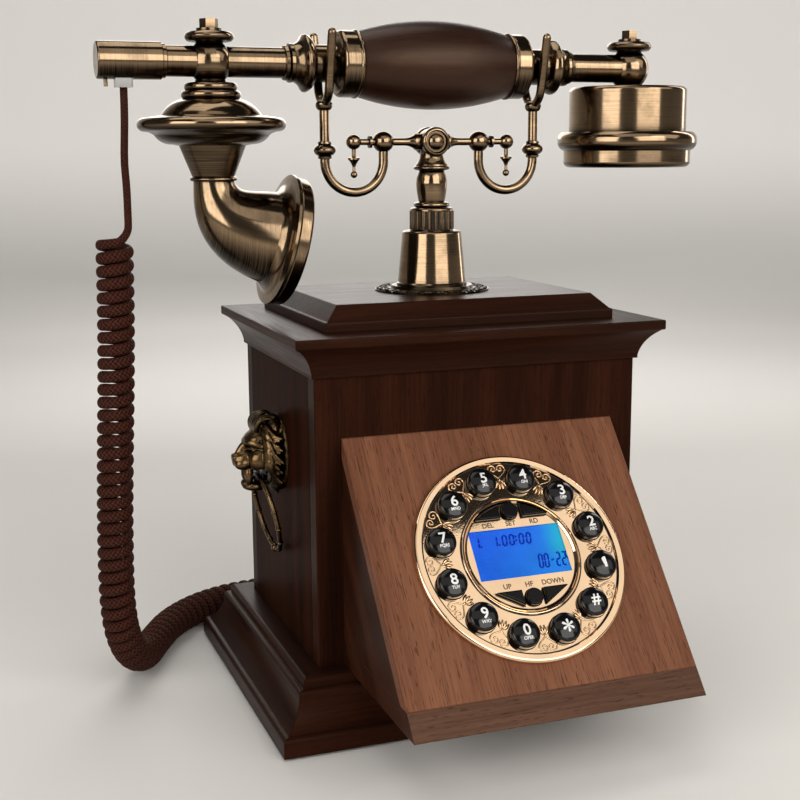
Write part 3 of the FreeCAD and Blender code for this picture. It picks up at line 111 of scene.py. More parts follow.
def math_node(tree, operation, first, second=0.0, clamp=False):
    inputs = {0: first, 1: second}
    return node(tree, "ShaderNodeMath", inputs, operation=operation, use_clamp=clamp).outputs[0]


def mix_colour(tree, factor, first, second, blend="MIX"):
    made = node(tree, "ShaderNodeMix", {0: factor, 6: first, 7: second}, data_type="RGBA", blend_type=blend)
    return made.outputs[2]


print("node helpers ready")

# %% Vectors and ranges
def vector_node(tree, operation, first, second, output="Vector"):
    made = node(tree, "ShaderNodeVectorMath", {0: first, 1: second}, operation=operation)
    return made.outputs[output]


def stretch(tree, vector, scale):
    return vector_node(tree, "MULTIPLY", vector, scale)


def dot(tree, first, second):
    return vector_node(tree, "DOT_PRODUCT", first, second, "Value")


def scaled(tree, vector, factor):
    inputs = {0: vector, "Scale": factor}
    return node(tree, "ShaderNodeVectorMath", inputs, operation="SCALE").outputs[0]


def vector_length(tree, vector):
    return node(tree, "ShaderNodeVectorMath", {0: vector}, operation="LENGTH").outputs["Value"]


def remap(tree, value, low, high, to_low=0.0, to_high=1.0):
    inputs = {0: value, 1: low, 2: high, 3: to_low, 4: to_high}
    return node(tree, "ShaderNodeMapRange", inputs, interpolation_type="SMOOTHSTEP").outputs[0]


print("vector helpers ready")

# %% Places, noises and bumps
def object_place(tree):
    return node(tree, "ShaderNodeTexCoord").outputs["Object"]


def split(tree, vector):
    return node(tree, "ShaderNodeSeparateXYZ", {0: vector}).outputs


def noise(tree, vector, scale, detail, roughness=0.5):
    inputs = {"Vector": vector, "Scale": scale, "Detail": detail, "Roughness": roughness}
    return node(tree, "ShaderNodeTexNoise", inputs).outputs["Fac"]


def bump(tree, height, strength, distance, **below):
    inputs = {"Height": height, "Strength": strength, "Distance": distance, **below}
    return node(tree, "ShaderNodeBump", inputs).outputs[0]


print("surface helpers ready")

# %% Groups and materials
FINISH_OUTPUTS = [("Color", "NodeSocketColor"), ("Roughness", "NodeSocketFloat"),
                  ("Height", "NodeSocketFloat")]


def open_group(name, kind, inputs, outputs):
    group = bpy.data.node_groups.new(name, kind)
    for label, socket, value in inputs:
        made = group.interface.new_socket(label, in_out="INPUT", socket_type=socket)
        if value is not None:
            made.default_value = value
    for label, socket in outputs:
        group.interface.new_socket(label, in_out="OUTPUT", socket_type=socket)
    return group, group.nodes.new("NodeGroupInput").outputs, group.nodes.new("NodeGroupOutput")


def open_material(name):
    material = bpy.data.materials.new(name)
    material.use_nodes = True
    tree = material.node_tree
    return material, tree, tree.nodes["Principled BSDF"]


def srgb(red, green, blue):
    tones = [value / 255 for value in (red, green, blue)]
    return tuple(t / 12.92 if t <= 0.04045 else ((t + 0.055) / 1.055) ** 2.4 for t in tones) + (1.0,)


def paint(material, *names):
    for name in names:
        slots = nodes[name].data.materials
        slots.clear()
        slots.append(material)
    print(material.name, "on", ", ".join(names))


print("material helpers ready")

# %% [markdown]
# ## Studio
# The phone stands on a plain pale floor that curves up into a round wall, so no edge shows from any side.
# Lacquer and metal are mostly what they reflect: two broad lamps, left and right of the camera, draw the
# bright bands along the bronze. Two dimmer ones higher up are what the dial mirrors, one when it is seen
# from the camera and one from the front. A strip at the right and a lamp above draw the edges, one behind
# fills the back, and the last lights the wall. The wall is pale only behind the phone; the rest of it is
# a dark grey and the room above is darker still, and that leaves the metal its darks.

# %% Floor and wall
FLOOR_RADIUS, WALL_BEND, WALL_TOP = 1.5, 1.0, 2.6


def turn_profile(work, places, centre, axis, steps):
    corners = [work.verts.new(place) for place in places]
    edges = [work.edges.new(pair) for pair in zip(corners, corners[1:])]
    bmesh.ops.spin(work, geom=corners + edges, cent=centre, axis=axis, angle=2 * math.pi, steps=steps,
                   use_merge=True)


def close_mesh(work, name):
    mesh = bpy.data.meshes.new(name)
    work.to_mesh(mesh)
    work.free()
    return mesh


def shade_smooth(mesh):
    mesh.polygons.foreach_set("use_smooth", [True] * len(mesh.polygons))


def bowl_mesh(steps=16, sides=96):
    profile = [(0.0, 0.0), (FLOOR_RADIUS, 0.0)]
    for step in range(1, steps + 1):
        angle = math.pi / 2 * step / steps
        profile.append((FLOOR_RADIUS + WALL_BEND * math.sin(angle), WALL_BEND * (1 - math.cos(angle))))
    profile.append((FLOOR_RADIUS + WALL_BEND, WALL_TOP))
    work = bmesh.new()
    turn_profile(work, [(away, 0, height) for away, height in profile], (0, 0, 0), (0, 0, 1), sides)
    bmesh.ops.remove_doubles(work, verts=work.verts, dist=1e-5)
    mesh = close_mesh(work, "studio")
    shade_smooth(mesh)
    return mesh


bowl = bowl_mesh()
print("studio bowl:", len(bowl.polygons), "faces")

# %% Pale paper
ROOM_GREY = (0.06, 0.0594, 0.0588, 1)
FLOOR_TONE, FLOOR_EDGE_TONE = srgb(236, 234, 230), srgb(186, 184, 181)
PALE_EDGE, PALE_MIDDLE = 0.4, 0.93
BEHIND = (math.sin(YAW), math.cos(YAW), 0)


def make_paper():
    material, tree, shader = open_material("pale_paper")
    place = object_place(tree)
    flat = stretch(tree, place, (1, 1, 0))
    height = split(tree, place)[2]
    way = node(tree, "ShaderNodeVectorMath", {0: flat}, operation="NORMALIZE").outputs[0]
    up_wall = remap(tree, height, 0.0, 0.7)
    aside = remap(tree, dot(tree, way, BEHIND), PALE_EDGE, PALE_MIDDLE, 1.0, 0.0)
    dark_side = math_node(tree, "MULTIPLY", up_wall, aside)
    dark = math_node(tree, "MAXIMUM", dark_side, remap(tree, height, 1.5, 2.5))
    on_floor = remap(tree, height, 0.0, 0.3, 1.0, 0.0)
    # Painted shade: the floor's tone darkens from about half a metre out, a painted falloff of the lamps'
    # light.
    shade = math_node(tree, "MULTIPLY", remap(tree, vector_length(tree, flat), 0.55, 1.3), on_floor)
    tone = mix_colour(tree, shade, FLOOR_TONE, FLOOR_EDGE_TONE)
    fill(tree, shader, {"Base Color": mix_colour(tree, dark, tone, (0, 0, 0, 1)), "Roughness": 0.8,
                        "Specular IOR Level": 0.0, "Emission Color": ROOM_GREY, "Emission Strength": dark})
    return material


studio = add_object("studio", bowl)
studio.data.materials.append(make_paper())
print("studio in", studio.data.materials[0].name)

# %% Lamps and room
def lamp(name, place, target, size, size_y, power, colour, roll=0.0):
    light = bpy.data.lights.new(name, "AREA")
    light.shape = "RECTANGLE"
    light.size, light.size_y = size, size_y
    light.energy, light.color = power, colour
    made = add_object(name, light)
    made.location = place
    made.rotation_mode = "QUATERNION"
    aim = (Vector(target) - Vector(place)).to_track_quat("-Z", "Y")
    made.rotation_quaternion = aim @ Quaternion((0, 0, 1), math.radians(roll))
    made.visible_camera = False


AIM, DIAL_AIM = (0, 0, 0.18), (0, -0.1, 0.09)
ROOM_STRENGTH = 0.4
lamp("left_softbox", (-1.27, -0.73, 0.62), AIM, 1.0, 0.95, 10, (1, 0.97, 0.94))
lamp("right_softbox", (0.37, -1.39, 0.72), AIM, 1.3, 0.95, 13, (1, 0.97, 0.93))
lamp("dial_softbox", (0.92, -0.90, 0.98), DIAL_AIM, 1.2, 0.8, 3.2, (1, 0.97, 0.93), roll=-32)
lamp("front_softbox", (-0.21, -0.88, 1.47), DIAL_AIM, 1.3, 0.9, 2.6, (1, 0.97, 0.93))
lamp("rear_strip", (1.3, 0.4, 0.7), AIM, 0.2, 1.3, 4, (1, 0.95, 0.9))
lamp("top_softbox", (-0.2, 0.3, 1.5), AIM, 1.2, 0.9, 5, (1, 0.98, 0.95))
lamp("back_softbox", (0.35, 1.45, 0.75), AIM, 1.0, 0.8, 5, (1, 0.97, 0.94))
lamp("screen_wash", (0.35, 0.75, 1.0), (0.75, 2.0, 0.55), 1.8, 0.5, 14, (1, 0.98, 0.96))

world = bpy.data.worlds.new("studio_room")
scene.world = world
world.use_nodes = True
room = world.node_tree
fill(room, room.nodes["Background"], {"Color": ROOM_GREY, "Strength": ROOM_STRENGTH})
print("lamps:", len(bpy.data.lights))

# %% [markdown]
# ## The curly cord's line
# A handset cord is one wire wound into a spring: straight from the handset's plug, some sixty curls,
# and a straight tail into the jack behind the case. Drawing sixty turns by hand would be hopeless,
# so the spring's middle line is a short smooth curve, and the curls are wound about it. The points of
# lead, curls and tail are then control points of the cord's own smooth curve.

# %% Read a smooth line through control points
def smooth_line(name, points, resolution):
    curve = bpy.data.curves.new(name, "CURVE")
    curve.dimensions = "3D"
    curve.resolution_u = resolution
    spline = curve.splines.new("NURBS")
    spline.points.add(len(points) - 1)
    for control, place in zip(spline.points, points):
        control.co = (*place, 1.0)
    spline.order_u = 3
    spline.use_endpoint_u = True
    guide = add_object(name, curve)
    bpy.context.view_layer.update()
    mesh = bpy.data.meshes.new_from_object(guide)
    line = np.array([vertex.co[:] for vertex in mesh.vertices])
    bpy.data.objects.remove(guide)
    bpy.data.curves.remove(curve)
    bpy.data.meshes.remove(mesh)
    return line


def run_along(line):
    return np.concatenate([[0], np.cumsum(np.linalg.norm(np.diff(line, axis=0), axis=1))])


def directions(line):
    ways = np.gradient(line, axis=0)
    return ways / np.linalg.norm(ways, axis=1)[:, None]


def carried_frames(line, first):
    ways = directions(line)
    normals = []
    normal = np.array(first, float)
    for way in ways:
        normal = normal - way * (normal @ way)
        normal = normal / np.linalg.norm(normal)
        normals.append(normal)
    normals = np.array(normals)
    return ways, normals, np.cross(ways, normals)


COIL_ROUTE = [(-155, 0, 226), (-155.4, 1, 196), (-156.8, 2, 160), (-158.8, 3.4, 122), (-160.4, 5.2, 82),
              (-160.6, 7.4, 45), (-155, 18.4, 22.2), (-145, 37.9, 9.3), (-134.2, 61, 9.3),
              (-121.6, 84.3, 9.3), (-99.7, 104.8, 9.3), (-71.5, 115, 9.3), (-45.5, 114.6, 9.3)]
coil_line = smooth_line("coil_middle", [Vector(p) * MM for p in COIL_ROUTE], 24)
print("coil's middle line:", len(coil_line), "points")

# %% Wind the curls about the middle line
COIL_RADIUS, COIL_PITCH, POINTS_PER_TURN = 6.3 * MM, 6.1 * MM, 14
HANDSET_PLUG_END = Vector((-147.8, 0, 292.6)) * MM
REAR_PLUG_END = Vector((-30, 67, 52)) * MM


def wind(line):
    _, normals, sides = carried_frames(line, (1, 0, 0))
    run = run_along(line)
    count = int(run[-1] / COIL_PITCH * POINTS_PER_TURN)
    places = np.arange(count + 1) * COIL_PITCH / POINTS_PER_TURN
    angle = 2 * math.pi * np.arange(count + 1) / POINTS_PER_TURN
    # A smooth curve runs inside its control points, so they lie a little further out.
    radius = COIL_RADIUS / math.cos(math.pi / POINTS_PER_TURN) ** 2

    def at_run(values):
        return np.stack([np.interp(places, run, values[:, axis]) for axis in range(3)], axis=1)

    middle, normal, side = at_run(line), at_run(normals), at_run(sides)
    curls = middle + radius * (normal * np.cos(angle)[:, None] + side * np.sin(angle)[:, None])
    quarter = POINTS_PER_TURN // 4
    easing = np.linspace(1, 0, quarter + 1)
    curls[:quarter + 1, 2] += COIL_PITCH * easing
    return curls


# The last turn ends where it rises most steeply, so that the tail leaves it without a kink.
curls = wind(coil_line)
rises = np.gradient(curls[-POINTS_PER_TURN:], axis=0)[:, 2]
curls = curls[:len(curls) - POINTS_PER_TURN + int(np.argmax(rises)) + 1]
coil_top, coil_end = Vector(curls[0]), Vector(curls[-1])
lead = [HANDSET_PLUG_END, HANDSET_PLUG_END + Vector((0, 0, -13)) * MM,
        HANDSET_PLUG_END + Vector((-1.2, 0.6, -32)) * MM, coil_top + Vector((0, 0, 17.6)) * MM,
        coil_top + Vector((0, 0, 4.4)) * MM]
tail = [coil_end + Vector((0, 0, 17.6)) * MM]
tail += [REAR_PLUG_END + Vector(step) * MM
         for step in ((-7, 43, -8), (-0.6, 25, 0.5), (0, 12, 0), (0, 0, 0))]
cord_points = [*lead, *[Vector(place) for place in curls], *tail]
cord_points.reverse()
cord_line = smooth_line("cord_line", cord_points, 3)

# %% [markdown]
# ## The cord's tube and its braid
# The wire is covered with a fine braid of brown yarn. A tube is laid round the line with its own UV
# map, U along the wire in metres and V once round it, so that the braid turns with every curl. Where it
# is curled the wire is a little taller than it is deep; its straight ends are round. The braid itself is
# drawn by the material: two families of diagonal yarns that pass over and under, each painted lighter on its
# crown and near-black in the gaps between yarns, as painted highlight and shade.

# %% Lay a tube round the line
CURL_TALL, CURL_DEEP, LEAD_RADIUS = 2.75 * MM, 2.15 * MM, 1.75 * MM
TUBE_SIDES = 14


def oval_ring(line, curled, axis_way, sides):
    ways, normals, _ = carried_frames(line, (0, 0, 1))
    tall = axis_way - ways * np.sum(axis_way * ways, axis=1)[:, None]
    size = np.linalg.norm(tall, axis=1)[:, None]
    tall = np.where(size > 0.2, tall / np.maximum(size, 1e-6), normals)
    deep = np.cross(ways, tall)
    bearings = 2 * math.pi * np.arange(sides) / sides
    half_tall = LEAD_RADIUS + (CURL_TALL - LEAD_RADIUS) * curled
    half_deep = LEAD_RADIUS + (CURL_DEEP - LEAD_RADIUS) * curled
    ring = (tall * half_tall[:, None])[:, None, :] * np.cos(bearings)[None, :, None]
    return ring + (deep * half_deep[:, None])[:, None, :] * np.sin(bearings)[None, :, None]


def tube_mesh(name, line, ring):
    sides = ring.shape[1]
    run = run_along(line)
    verts = (line[:, None, :] + ring).reshape(-1, 3)
    faces, uvs = [], []
    for row in range(len(line) - 1):
        here, there = row * sides, (row + 1) * sides
        for side in range(sides):
            after = (side + 1) % sides
            faces.append((here + side, here + after, there + after, there + side))
            low, high = side / sides, (side + 1) / sides
            uvs += [(run[row], low), (run[row], high), (run[row + 1], high), (run[row + 1], low)]
    last = (len(line) - 1) * sides
    faces += [tuple(reversed(range(sides))), tuple(range(last, last + sides))]
    uvs += [(0.0, 0.0)] * (2 * sides)
    mesh = bpy.data.meshes.new(name)
    mesh.from_pydata(verts.tolist(), [], faces)
    layer = mesh.uv_layers.new(name="along_wire")
    layer.data.foreach_set("uv", np.array(uvs, np.float32).ravel())
    shade_smooth(mesh)
    return mesh


print("tube sides:", TUBE_SIDES)

# %% Find the curls and make the cord
FLATTEN_RUN = 0.03


def coil_sense(line, stride=4):
    distances = np.linalg.norm(line[:, None, :] - coil_line[None, ::stride, :], axis=2)
    nearest = np.argmin(distances, axis=1) * stride
    off = distances.min(axis=1)
    run = run_along(line)
    inside = np.where((off < COIL_RADIUS * 1.25) & (np.abs(off - COIL_RADIUS) < 0.002))[0]
    start, end = run[inside[0]], run[inside[-1]]
    curled = np.clip((run - start) / FLATTEN_RUN, 0, 1) * np.clip((end - run) / FLATTEN_RUN, 0, 1)
    return curled, directions(coil_line)[nearest]


curled, axis_way = coil_sense(cord_line)
cord_mesh = tube_mesh("handset_cord", cord_line, oval_ring(cord_line, curled, axis_way, TUBE_SIDES))
handset_cord = add_object("handset_cord", cord_mesh)
print("cord tube:", len(cord_mesh.polygons), "faces")

# %% Braided yarn
YARNS_PER_METRE, YARNS_ROUND = 560.0, 6.0
YARN_GAP_SHADE, YARN_CROWN_HIGHLIGHT, YARN_FUZZ = srgb(12, 5, 4), srgb(72, 36, 25), srgb(82, 43, 31)


def make_braid():
    material, tree, shader = open_material("braided_cord")
    parts = split(tree, node(tree, "ShaderNodeUVMap", uv_map="along_wire").outputs[0])
    along = math_node(tree, "MULTIPLY", parts[0], YARNS_PER_METRE)
    around = math_node(tree, "MULTIPLY", parts[1], YARNS_ROUND)
    first = math_node(tree, "ADD", along, around)
    second = math_node(tree, "SUBTRACT", along, around)
    waves = []
    for strand in (first, second):
        share = math_node(tree, "FRACT", strand)
        waves.append(math_node(tree, "SINE", math_node(tree, "MULTIPLY", share, math.pi)))
    both = math_node(tree, "ADD", math_node(tree, "FLOOR", first), math_node(tree, "FLOOR", second))
    over = math_node(tree, "PINGPONG", both, 1.0)
    mixed = node(tree, "ShaderNodeMix", {0: over, 2: waves[0], 3: waves[1]}, data_type="FLOAT").outputs[0]
    fuzz = noise(tree, object_place(tree), 900.0, 2.0)
    # Painted highlight and shade: each yarn is lighter on its crown and near-black in the gaps between yarns.
    yarn = mix_colour(tree, remap(tree, mixed, 0.25, 1.0), YARN_GAP_SHADE, YARN_CROWN_HIGHLIGHT)
    fuzzy = mix_colour(tree, remap(tree, fuzz, 0.35, 0.7), yarn, YARN_FUZZ)
    fill(tree, shader, {"Base Color": mix_colour(tree, 0.3, yarn, fuzzy), "Roughness": 0.72,
                        "Specular IOR Level": 0.1, "Normal": bump(tree, mixed, 0.8, 0.0005)})
    return material


cord_mesh.materials.append(make_braid())
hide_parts("cord_lead", "cord_curl")
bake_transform(handset_cord)

# %% [markdown]
# ## Walnut
# The case is walnut under a satin lacquer: long soft bands of figure, fine fibres, and short dark
# pores that lie along the grain. All three are noises stretched along one direction, so one shader
# group serves every board, and each board only says which way its grain runs. The coordinates are
# those of the object, so the pores are as long in the picture as they are in the wood.

# %% Wood group
DRIFT_SCALE, BAND_SCALE = (7, 26, 26), (5, 85, 85)
FIBRE_SCALE, PORE_SCALE = (22, 900, 900), (130, 1900, 1900)


def make_wood_group():
    inputs = [("Grain", "NodeSocketVector", None), ("Light", "NodeSocketColor", (0.2, 0.1, 0.05, 1)),
              ("Dark", "NodeSocketColor", (0.1, 0.04, 0.02, 1)),
              ("Pore", "NodeSocketColor", (0.02, 0.01, 0.005, 1)), ("Pore Amount", "NodeSocketFloat", 0.7)]
    tree, given, result = open_group("walnut_figure", "ShaderNodeTree", inputs, FINISH_OUTPUTS)
    drift = node(tree, "ShaderNodeTexNoise", {"Vector": stretch(tree, given[0], DRIFT_SCALE), "Scale": 1.0})
    shift = vector_node(tree, "SUBTRACT", drift.outputs["Color"], (0.5, 0.5, 0.5))
    grain = vector_node(tree, "ADD", given[0], stretch(tree, shift, (0, 0.006, 0.006)))

    def streaks(scale, detail):
        return noise(tree, stretch(tree, grain, scale), 1.0, detail, 0.6)

    bands = remap(tree, streaks(BAND_SCALE, 3.0), 0.32, 0.68)
    fibres = streaks(FIBRE_SCALE, 2.0)
    pores = remap(tree, streaks(PORE_SCALE, 1.0), 0.61, 0.70)
    colour = mix_colour(tree, bands, given["Dark"], given["Light"])
    toned = scaled(tree, colour, remap(tree, fibres, 0.25, 0.75, 0.80, 1.14))
    pore_share = math_node(tree, "MULTIPLY", pores, given["Pore Amount"])
    sunk = math_node(tree, "MULTIPLY", pore_share, -1.0)
    height = math_node(tree, "ADD", sunk, math_node(tree, "MULTIPLY", fibres, 0.25))
    fill(tree, result, {"Color": mix_colour(tree, pore_share, toned, given["Pore"]), "Height": height,
                        "Roughness": remap(tree, fibres, 0.2, 0.8, 0.30, 0.42)})
    return tree


WOOD_GROUP = make_wood_group()
print("group:", WOOD_GROUP.name)

# %% Which way the grain runs
X_AXIS, Y_AXIS, Z_AXIS = (1, 0, 0), (0, 1, 0), (0, 0, 1)
SLOPE, FACE_OUT = (0, 0.6441, 0.7649), (0, -0.7649, 0.6441)
FRAME_AXES, DIAL_AXES = (X_AXIS, Y_AXIS, Z_AXIS), (SLOPE, X_AXIS, FACE_OUT)


def grain_axes(tree, *axes):
    place = object_place(tree)
    along, across, through = [dot(tree, place, axis) for axis in axes]
    return node(tree, "ShaderNodeCombineXYZ", {0: along, 1: across, 2: through}).outputs[0]


def mitred_axes(tree, half_width, half_depth):
    place = object_place(tree)
    parts = split(tree, place)
    beyond_x = math_node(tree, "SUBTRACT", math_node(tree, "ABSOLUTE", parts[0]), half_width)
    beyond_y = math_node(tree, "SUBTRACT", math_node(tree, "ABSOLUTE", parts[1]), half_depth)
    on_side = math_node(tree, "GREATER_THAN", beyond_x, beyond_y)
    turned = node(tree, "ShaderNodeCombineXYZ", {0: parts[1], 1: parts[0], 2: parts[2]}).outputs[0]
    offset = vector_node(tree, "ADD", turned, (0.37, 0.21, 0.13))
    mixed = node(tree, "ShaderNodeMix", {0: on_side, 4: place, 5: offset}, data_type="VECTOR")
    return mixed.outputs[1]


print("grain helpers ready")

# %% A walnut finish
PORE_TONE, LACQUER_TINT, EDGE_RADIUS = srgb(24, 12, 8), srgb(255, 210, 180), 0.9 * MM


def make_wood(name, light, dark, pore_amount, axes=None, mitre=None, gloss=1.22, front=None):
    material, tree, shader = open_material(name)

    def figure(grain, light, dark):
        inputs = {"Grain": grain, "Light": light, "Dark": dark, "Pore": PORE_TONE,
                  "Pore Amount": pore_amount}
        return node(tree, "ShaderNodeGroup", inputs, node_tree=WOOD_GROUP)

    wood = figure(mitred_axes(tree, *mitre) if mitre else grain_axes(tree, *axes), light, dark)
    colour = wood.outputs["Color"]
    # Painted light: faces turned out along the dial get a lighter copy of the walnut figure.
    if front:
        strip = figure(grain_axes(tree, X_AXIS, SLOPE, FACE_OUT), *front)
        normal = node(tree, "ShaderNodeTexCoord").outputs["Normal"]
        lit_face_share = remap(tree, dot(tree, normal, FACE_OUT), 0.85, 0.95)
        colour = mix_colour(tree, lit_face_share, colour, strip.outputs["Color"])
    soft_edge = node(tree, "ShaderNodeBevel", {"Radius": EDGE_RADIUS}, samples=4).outputs[0]
    fill(tree, shader, {"Base Color": colour, "Roughness": wood.outputs["Roughness"], "IOR": gloss,
                        "Specular Tint": LACQUER_TINT,
                        "Normal": bump(tree, wood.outputs["Height"], 0.25, 0.0002, Normal=soft_edge)})
    return material


print("walnut finish ready")

# %% Boards of walnut
COLUMN_HALF = (80 * MM, 61 * MM)
CASE_LIGHT, CASE_DARK = srgb(49, 24, 14), srgb(35, 17, 10)
upright = make_wood("walnut_upright", CASE_LIGHT, CASE_DARK, 0.7, axes=(Z_AXIS, X_AXIS, Y_AXIS), gloss=1.10)
side_board = make_wood("walnut_side", CASE_LIGHT, CASE_DARK, 0.7, axes=(Z_AXIS, Y_AXIS, X_AXIS), gloss=1.04)
level = make_wood("walnut_level", CASE_LIGHT, CASE_DARK, 0.6, axes=FRAME_AXES)
turned = make_wood("walnut_turned", srgb(37, 16, 9), srgb(23, 9, 5), 0.5, axes=FRAME_AXES, gloss=1.48)
mitred = make_wood("walnut_mitred", CASE_LIGHT, CASE_DARK, 0.6, mitre=COLUMN_HALF, gloss=1.15)
# The dial board and the cheeks' outward faces are a lighter copy of the case's walnut, as painted light; the
# case boards are the darker, shaded copy.
lit_dial_board = make_wood("walnut_dial_board_lit", srgb(127, 84, 62), srgb(111, 71, 52), 0.6, axes=DIAL_AXES)
cheek_lit_front = make_wood("walnut_cheeks_lit_front", srgb(62, 33, 20), srgb(44, 22, 13), 0.6, axes=DIAL_AXES,
                  front=(srgb(98, 71, 57), srgb(84, 59, 47)))
paint(upright, "front_panel", "rear_panel")
paint(side_board, "side_panels")
paint(level, "top_plate")
paint(turned, "handset_grip")
paint(mitred, "plinth_moulding", "cornice")
paint(lit_dial_board, "dial_box_face")
paint(cheek_lit_front, "dial_box_case")

# %% [markdown]
# ## Antique bronze
# The fittings are plated, darkened, and brushed back until the high places shine. So there are two
# tones: a warm bright bronze, and a dark patina that stays where a cloth cannot reach. The hollows are
# found by measuring how open the surface is, and a soft cloud of noise keeps the polish uneven. Faces
# that turn downwards get the dark tone as well: painted shade, standing in for the dark they would mirror.
# Fine turning lines run round each piece, so the group is told along which axis the piece was turned.

# %% Bronze group
CLOUD_SCALE, TURNING_SCALE, HOLLOW_REACH = 55.0, (30, 30, 2600), 5 * MM
POLISHED, TARNISHED = 0.13, 0.26


def make_bronze_group():
    inputs = [("Place", "NodeSocketVector", None), ("Bright", "NodeSocketColor", (0.5, 0.36, 0.2, 1)),
              ("Dark", "NodeSocketColor", (0.06, 0.04, 0.022, 1)), ("Patina", "NodeSocketFloat", 0.5),
              ("Matt", "NodeSocketFloat", 0.0)]
    tree, given, result = open_group("bronze_patina", "ShaderNodeTree", inputs, FINISH_OUTPUTS)
    clouds = noise(tree, given[0], CLOUD_SCALE, 4.0, 0.6)
    lines = noise(tree, stretch(tree, given[0], TURNING_SCALE), 1.0, 2.0, 0.7)
    open_sky = node(tree, "ShaderNodeAmbientOcclusion", {"Distance": HOLLOW_REACH}, samples=6)
    hollow = remap(tree, open_sky.outputs["AO"], 0.45, 1.0, 1.0, 0.0)
    haze = math_node(tree, "MULTIPLY", remap(tree, clouds, 0.38, 0.72), given["Patina"])
    normal = node(tree, "ShaderNodeTexCoord").outputs["Normal"]
    # Painted shade: faces turning downwards take the dark tone, standing in for the dark they would mirror.
    below = remap(tree, split(tree, normal)[2], -0.55, 0.12, 0.92, 0.0)
    patina_and_shade = math_node(tree, "MAXIMUM", math_node(tree, "MAXIMUM", hollow, below), haze, clamp=True)
    stroke = remap(tree, lines, 0.3, 0.7, -0.12, 0.12)
    patina_and_shade = math_node(tree, "ADD", patina_and_shade, stroke, clamp=True)
    rough = remap(tree, patina_and_shade, 0.0, 1.0, POLISHED, TARNISHED)
    fill(tree, result, {"Color": mix_colour(tree, patina_and_shade, given["Bright"], given["Dark"]), "Height": lines,
                        "Roughness": math_node(tree, "ADD", rough, given["Matt"])})
    return tree


BRONZE_GROUP = make_bronze_group()
print("group:", BRONZE_GROUP.name)

# %% Bronze finishes
def make_bronze(name, bright, dark, patina, axes, matt=0.0):
    material, tree, shader = open_material(name)
    inputs = {"Place": grain_axes(tree, *axes), "Bright": bright, "Dark": dark, "Patina": patina,
              "Matt": matt}
    bronze = node(tree, "ShaderNodeGroup", inputs, node_tree=BRONZE_GROUP).outputs
    fill(tree, shader, {"Base Color": bronze["Color"], "Roughness": bronze["Roughness"], "Metallic": 1.0,
                        "Normal": bump(tree, bronze["Height"], 0.08, 0.0001)})
    return material


BRIGHT, DARK = srgb(156, 132, 104), srgb(22, 16, 11)
upright_bronze = make_bronze("bronze_upright", BRIGHT, DARK, 0.45, FRAME_AXES)
level_bronze = make_bronze("bronze_level", BRIGHT, DARK, 0.45, (Y_AXIS, Z_AXIS, X_AXIS))
cast_bronze = make_bronze("bronze_cast", srgb(120, 96, 66), srgb(14, 10, 6), 0.8, FRAME_AXES, matt=0.13)
black_bronze = make_bronze("bronze_blackened", srgb(88, 74, 58), srgb(14, 11, 8), 0.7, FRAME_AXES, matt=0.06)
paint(upright_bronze, "cradle_cone", "cradle_stem", "cradle_hooks", "ear_cap", "receiver_cup",
      "mouthpiece_bell", "arm_hubs")
paint(level_bronze, "cradle_crossbar", "end_cap", "handset_arms", "handset_ferrules", "mouthpiece_horn")
paint(cast_bronze, "left_ring", "right_ring")
paint(black_bronze, "cradle_flange")

# %% [markdown]
# ## Dial brass, keys and plastics
# The dial is polished pale brass, the keys are glossy black domes. Neither is quite even: fingers leave
# a haze on brass, and moulded plastic has a very fine ripple. One small group gives both. The hidden
# pieces inside the case get plain moulded finishes of the same kind.

# %% Haze group and moulded finishes
HAZE_SCALE, RIPPLE_SCALE, RIPPLE_DEPTH = 60.0, 1400.0, 0.2 * MM


def make_haze_group():
    inputs = [("Color", "NodeSocketColor", (0.5, 0.5, 0.5, 1)), ("Smooth", "NodeSocketFloat", 0.2),
              ("Worn", "NodeSocketFloat", 0.4)]
    tree, given, result = open_group("finger_haze", "ShaderNodeTree", inputs, FINISH_OUTPUTS)
    place = object_place(tree)
    cloud = noise(tree, place, HAZE_SCALE, 5.0)
    share = {0: remap(tree, cloud, 0.3, 0.75), 2: given["Smooth"], 3: given["Worn"]}
    tone = remap(tree, cloud, 0.2, 0.8, 1.06, 0.90)
    rough = node(tree, "ShaderNodeMix", share, data_type="FLOAT").outputs[0]
    fill(tree, result, {"Color": scaled(tree, given["Color"], tone), "Roughness": rough,
                        "Height": noise(tree, place, RIPPLE_SCALE, 2.0)})
    return tree


HAZE_GROUP = make_haze_group()


def make_moulded(name, colour, smooth, worn, ripple=0.03, **fixed):
    material, tree, shader = open_material(name)
    inputs = {"Color": colour, "Smooth": smooth, "Worn": worn}
    haze = node(tree, "ShaderNodeGroup", inputs, node_tree=HAZE_GROUP).outputs
    fill(tree, shader, {"Base Color": haze["Color"], "Roughness": haze["Roughness"],
                        "Normal": bump(tree, haze["Height"], ripple, RIPPLE_DEPTH)})
    fill(tree, shader, {label.replace("_", " "): value for label, value in fixed.items()})
    return material


print("group:", HAZE_GROUP.name)

